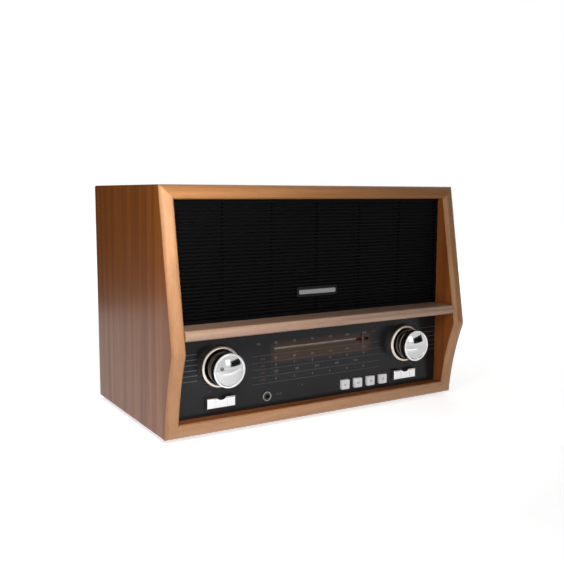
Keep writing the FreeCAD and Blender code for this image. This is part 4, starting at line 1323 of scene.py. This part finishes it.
# Each key's shapes, and how far each one stands from the key's middle in millimetres
KEY_SIGNS = [
    [(upright_bar, -1.5), (left_triangle, 0)],
    [(triangle, -1.0), (upright_bar, 0.6), (upright_bar, 1.4)],
    [(triangle, 0), (upright_bar, 1.5)],
    [(ring_mark, 0)],
]
for number, (sign, (low, high)) in enumerate(zip(KEY_SIGNS, key_boxes), start=1):
    x, z = (low.x + high.x) / 2, (low.z + high.z) / 2
    y = low.y + DISH - MARK_T / 2 + MARK_OUT
    shapes = [shape(x + aside * MM, y, z) for shape, aside in sign]
    mark = join_pieces("key_mark_%d" % number, shapes)
    dress(mark, "key_%d" % number, (), [ink_dark])

# %% [markdown]
# ## Badge
# A small black plate is pegged to the louvres, with a bright bar on it and no words. Both are
# blocks with their corners rounded. They could stay apart, but they never part on the real set, so
# they are joined into one piece that keeps its two finishes.

# %% Badge
PLATE_T, PLATE_CORNER_R, PLATE_EDGE_R = 1.2 * MM, 1.4 * MM, 0.3 * MM
BAR_ASIDE, BAR_HALF_HIGH, BAR_SUNK = 2.0 * MM, 1.95 * MM, 0.1 * MM
BAR_CORNER_R, BAR_EDGE_R = 1.0 * MM, 0.22 * MM


def rounded_tile(name, low, high, corner_radius, edge_radius, material):
    """A flat block with round corners and a softened front edge."""
    tile = block(name, low, high)
    edit(tile)
    half_way = (low.y + high.y) / 2
    round_edges(corner_radius, 5, lambda p, turn: abs(p.y - half_way) < TINY)
    round_edges(edge_radius, 3, lambda p, turn: turn > SHARP and p.y < low.y + TINY)
    leave_edit()
    tile.data.materials.append(material)
    return tile


def badge():
    low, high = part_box("badge_plate")
    middle = (low + high) / 2
    plate_y = high.y - PLATE_T
    plate = rounded_tile("badge", Vector((low.x, plate_y, low.z)), high, PLATE_CORNER_R,
                         PLATE_EDGE_R, badge_black)
    bar = rounded_tile("bar", Vector((low.x + BAR_ASIDE, low.y, middle.z - BAR_HALF_HIGH)),
                       Vector((high.x - BAR_ASIDE, plate_y + BAR_SUNK, middle.z + BAR_HALF_HIGH)),
                       BAR_CORNER_R, BAR_EDGE_R, bright_bar)
    whole = join_pieces("badge", [plate, bar])
    soften(whole, 32)
    return whole


dress(badge(), "cabinet", ["badge_plate"])

# %% [markdown]
# ## The printed scale
# Numbers, lines and short marks are printed on the panel. They could be drawn inside the panel's
# material, but letters made of nodes are hard to write and to read. Here they are thin solids that
# lie on the panel: text is typed, made a mesh, and laid on the front. Each ink is one piece.

# %% Helpers for printing
INK_Y = panel_low.y - 0.012 * MM          # the middle of the ink, just in front of the panel
INK_T = 0.03 * MM


def typed(words, x, up, size):
    """Letters centred on a place; x and up are in millimetres, up from the underside."""
    bpy.ops.object.select_all(action="DESELECT")
    bpy.ops.object.text_add(location=(0, 0, 0))
    letters = bpy.context.object
    letters.data.body = words
    letters.data.align_x = "CENTER"
    letters.data.align_y = "CENTER"
    letters.data.size = size * MM
    letters.data.extrude = INK_T / 2
    letters.data.resolution_u = 3
    bpy.ops.object.convert(target="MESH")
    letters.location = (x * MM, INK_Y, FOOT_Z + up * MM)
    letters.rotation_euler = (math.pi / 2, 0, 0)
    return settle("letters")


def ruled(x0, x1, up0, up1):
    """A printed bar between two places, in millimetres."""
    return block("line", (x0 * MM, INK_Y - INK_T / 2, FOOT_Z + up0 * MM),
                 (x1 * MM, INK_Y + INK_T / 2, FOOT_Z + up1 * MM))


def number_row(numbers, x0, x1, up, size=3.1):
    """Numbers, given with spaces between them, spread evenly from x0 to x1."""
    numbers = numbers.split()
    step = (x1 - x0) / (len(numbers) - 1)
    return [typed(number, x0 + step * k, up, size) for k, number in enumerate(numbers)]


def print_on_panel(name, shapes, ink_used):
    printed = join_pieces(name, shapes)
    dress(printed, "cabinet", (), [ink_used])

# %% [markdown]
# Five rows of plain numbers stand one above the other: one above the slot and four below it. Each
# row spreads its numbers evenly, as on a simple dial.

# %% Scale numbers
SCALE_X0, SCALE_X1 = -43.0, 51.0          # from here on, places on the panel are in millimetres
FM_UP, AM_UP, SW_UP, LW_UP, LOG_UP = 66.3, 53.2, 47.4, 41.4, 35.2
NUMBER_ROWS = [
    ("88 92 96 100 104 108", SCALE_X1, FM_UP),
    ("53 60 80 110 140 160", SCALE_X1, AM_UP),
    ("6 7 8 10 12 16", SCALE_X1, SW_UP),
    ("150 180 210 240 270", 42, LW_UP),
    ("0 2 4 6 8 10", SCALE_X1, LOG_UP),
]
scale_numbers = [typed("FM", -60, FM_UP, 3.2)]
for numbers, x1, up in NUMBER_ROWS:
    scale_numbers += number_row(numbers, SCALE_X0, x1, up)
print_on_panel("scale_numbers", scale_numbers, ink_white)

# %% [markdown]
# Level lines part the rows, with short marks on them that stand closer than the numbers. Every
# fifth mark is longer, so that the eye can count. At each end of the panel six lines fill the
# space beside the knobs. Bars that are scaled for each length do for all of them.

# %% Scale lines
LINE_UPS = (56.4, 50.4, 44.5, 38.3, 32.2)
LINE_HALF_THICK = 0.12
MARKS, MARK_HALF_WIDE, LONG_MARK, SHORT_MARK = 36, 0.1, 1.3, 0.7
SIDE_TOP, SIDE_PITCH = 64.3, 4.4
# The lines beside each knob: from, to and half their thickness
SIDE_LINES = [(-137.5, -117, 0.3), (117, 137.5, 0.15)]


def level_line(x0, x1, up, half_thick):
    return ruled(x0, x1, up - half_thick, up + half_thick)


def mark_row(up):
    """Short upright marks along a scale line."""
    step = (SCALE_X1 - SCALE_X0) / (MARKS - 1)
    return [ruled(SCALE_X0 + step * k - MARK_HALF_WIDE, SCALE_X0 + step * k + MARK_HALF_WIDE, up,
                  up + (SHORT_MARK if k % 5 else LONG_MARK)) for k in range(MARKS)]


scale_lines = [level_line(-66, 70, up, LINE_HALF_THICK) for up in LINE_UPS]
for up in LINE_UPS[:4]:
    scale_lines += mark_row(up)
for x0, x1, half_thick in SIDE_LINES:
    scale_lines += [level_line(x0, x1, SIDE_TOP - SIDE_PITCH * k, half_thick) for k in range(6)]
print_on_panel("scale_lines", scale_lines, ink_grey)

# %% [markdown]
# Each row is named by the usual letters of its band, in red at its left end. Small grey labels name
# the socket and count the switches' positions. All of it is what any such set has.

# %% Band letters and small labels
band_letters = [typed("MHz", 62, FM_UP, 2.8)]
band_letters += [typed(word, -56, up, 2.8)
                 for word, up in (("AM", AM_UP), ("SW", SW_UP), ("LW", LW_UP), ("LOG", LOG_UP))]
print_on_panel("band_letters", band_letters, ink_red)

small_labels = [typed("AUX", -40, 21.2, 2.8), typed("L", -20, 26, 2.4), typed("R", -16, 26, 2.4)]
small_labels += number_row("0 1 2", -106, -89, 31.6, 2.2)
small_labels += number_row("1 2 3", 89, 106, 31.6, 2.2)
print_on_panel("small_labels", small_labels, ink_grey)

# %% [markdown]
# ## Floor
# The floor is plain and nearly white, and catches the radio's soft shadow. More lamps could make it
# pure white, but they would bleach the radio too. So the floor glows, less round the radio than far
# off, and only in what the camera and the reflections see. The glow throws no light on the wood.

# %% Floor
def background_rays(tree):
    """1 for what the camera, a mirror or glass sees, and 0 for the light that falls on things."""
    seen = node(tree, "LightPath").outputs
    mirrored = maths(tree, "MAXIMUM", seen["Is Glossy Ray"], seen["Is Transmission Ray"])
    return maths(tree, "MAXIMUM", seen["Is Camera Ray"], mirrored)


def floor_paper():
    material, tree, shader = start_material("floor_paper", (0.86, 0.86, 0.86), 0.9,
                                            Emission_Strength=1.0)
    away = node(tree, "VectorMath", {"Vector": object_place(tree)}, operation="LENGTH")
    near_to_far = rescale(tree, away.outputs["Value"], 0.3, 1.0, 0.72, 1.0)
    level = maths(tree, "MULTIPLY", background_rays(tree), near_to_far)
    glow = blend_colours(tree, level, (0, 0, 0, 1), (1, 1, 1, 1))
    tree.links.new(glow, shader.inputs["Emission Color"])
    return material


bpy.ops.object.select_all(action="DESELECT")
bpy.ops.mesh.primitive_plane_add(size=8, location=(0, 0, 0))
floor = settle("floor")
floor.data.materials.append(floor_paper())
print("the floor is", floor.dimensions.x, "m wide")

# %% [markdown]
# ## Light
# The light comes from the left. A small box stands close to the front's left corner, so the light
# falls off along the front, as it does in a small studio. Two low boxes lift the foot of the front,
# one far to the left lights the side, and one far in front gives the chrome its highlight. The last
# three light the top and the back. One big box would be simpler, but it lights the front evenly.
# The camera sees none of the boxes, and the near ones don't show in the lacquer either.

# %% Lamps
def soft_box(name, place, aim, width, height, power, mirrored=True):
    """A rectangular lamp; one that isn't mirrored lights things without showing in them."""
    lamp = bpy.data.lights.new(name, "AREA")
    lamp.shape = "RECTANGLE"
    lamp.size, lamp.size_y = width, height
    lamp.energy = power
    box = bpy.data.objects.new(name, lamp)
    bpy.context.scene.collection.objects.link(box)
    box.location = place
    box.rotation_euler = (Vector(aim) - Vector(place)).to_track_quat("-Z", "Y").to_euler()
    box.visible_camera = False
    box.visible_glossy = mirrored


# Name, place, what it is aimed at, width, height, power, and whether it shows in reflections
soft_box("corner_light", (-0.20, -0.26, 0.24), (-0.22, -0.05, 0.18), 0.12, 0.12, 0.77, False)
soft_box("left_box", (-1.1, 0.15, 0.40), (-0.15, 0.05, 0.10), 0.5, 0.5, 1.0, False)
soft_box("low_strip", (-0.20, -0.34, 0.06), (-0.10, -0.05, 0.05), 0.20, 0.06, 0.12, False)
soft_box("low_card", (0.05, -0.235, 0.014), (0.05, -0.05, 0.014), 0.30, 0.024, 0.085, False)
soft_box("front_strip", (0.32, -1.40, 0.41), (-0.05, 0, 0.10), 0.38, 0.40, 0.7)
soft_box("top_strip", (0.45, 0.10, 1.15), (0.2, 0, 0.2), 1.20, 0.20, 1.0)
soft_box("back_box", (-0.2, 0.7, 1.3), (0, 0, 0.1), 0.8, 0.5, 3.0)
soft_box("right_box", (1.0, 1.0, 0.8), (0, 0, 0.1), 0.8, 0.8, 3.0)

# %% [markdown]
# The surroundings are white where the camera or a reflection looks, which makes the background and
# what the chrome shows. A picture of a studio could do both, but plain white has no shapes to
# explain. As light it is far weaker, and only fills the shadows a little.

# %% Surroundings
FILL, WHITE = 0.03, 1.0
world = bpy.data.worlds.new("studio")
bpy.context.scene.world = world
world.use_nodes = True
air = world.node_tree
air.nodes.clear()
sky = node(air, "Background", {"Color": (1, 1, 1, 1)})
air.links.new(rescale(air, background_rays(air), 0, 1, FILL, WHITE), sky.inputs["Strength"])
air.links.new(sky.outputs["Background"], node(air, "OutputWorld").inputs["Surface"])
print("the surroundings fill the shadows at", FILL, "of white")

# %% [markdown]
# ## Black cards
# Chrome shows only what stands round it, and in an all-white room it looks flat. So black cards
# stand beside it, as in a studio, and shiny things get dark edges and keep their shape. The room
# itself could be made darker, but that would take the white from everything. The cards are seen by
# reflections alone: they throw no shadow, and no view shows them.

# %% Black cards
def black_card(name, place, aim, width, height):
    bpy.ops.object.select_all(action="DESELECT")
    bpy.ops.mesh.primitive_plane_add(size=1)
    card = bpy.context.object
    card.name = name
    card.scale = (width, height, 1)
    card.location = place
    card.rotation_euler = (Vector(aim) - Vector(place)).to_track_quat("Z", "Y").to_euler()
    material, tree, shader = start_material(name, (0.012, 0.012, 0.012), 1.0)
    card.data.materials.append(material)
    for ray in ("camera", "diffuse", "shadow", "transmission", "volume_scatter"):
        setattr(card, "visible_" + ray, False)
    print(name, "is", width, "by", height, "m")


black_card("card_right", (1.74, -1.88, 0.40), (0.0, -0.09, 0.40), 1.95, 0.80)
black_card("card_behind", (-0.85, 0.62, 1.0), (-0.85, 0, 1.0), 2.3, 2.0)
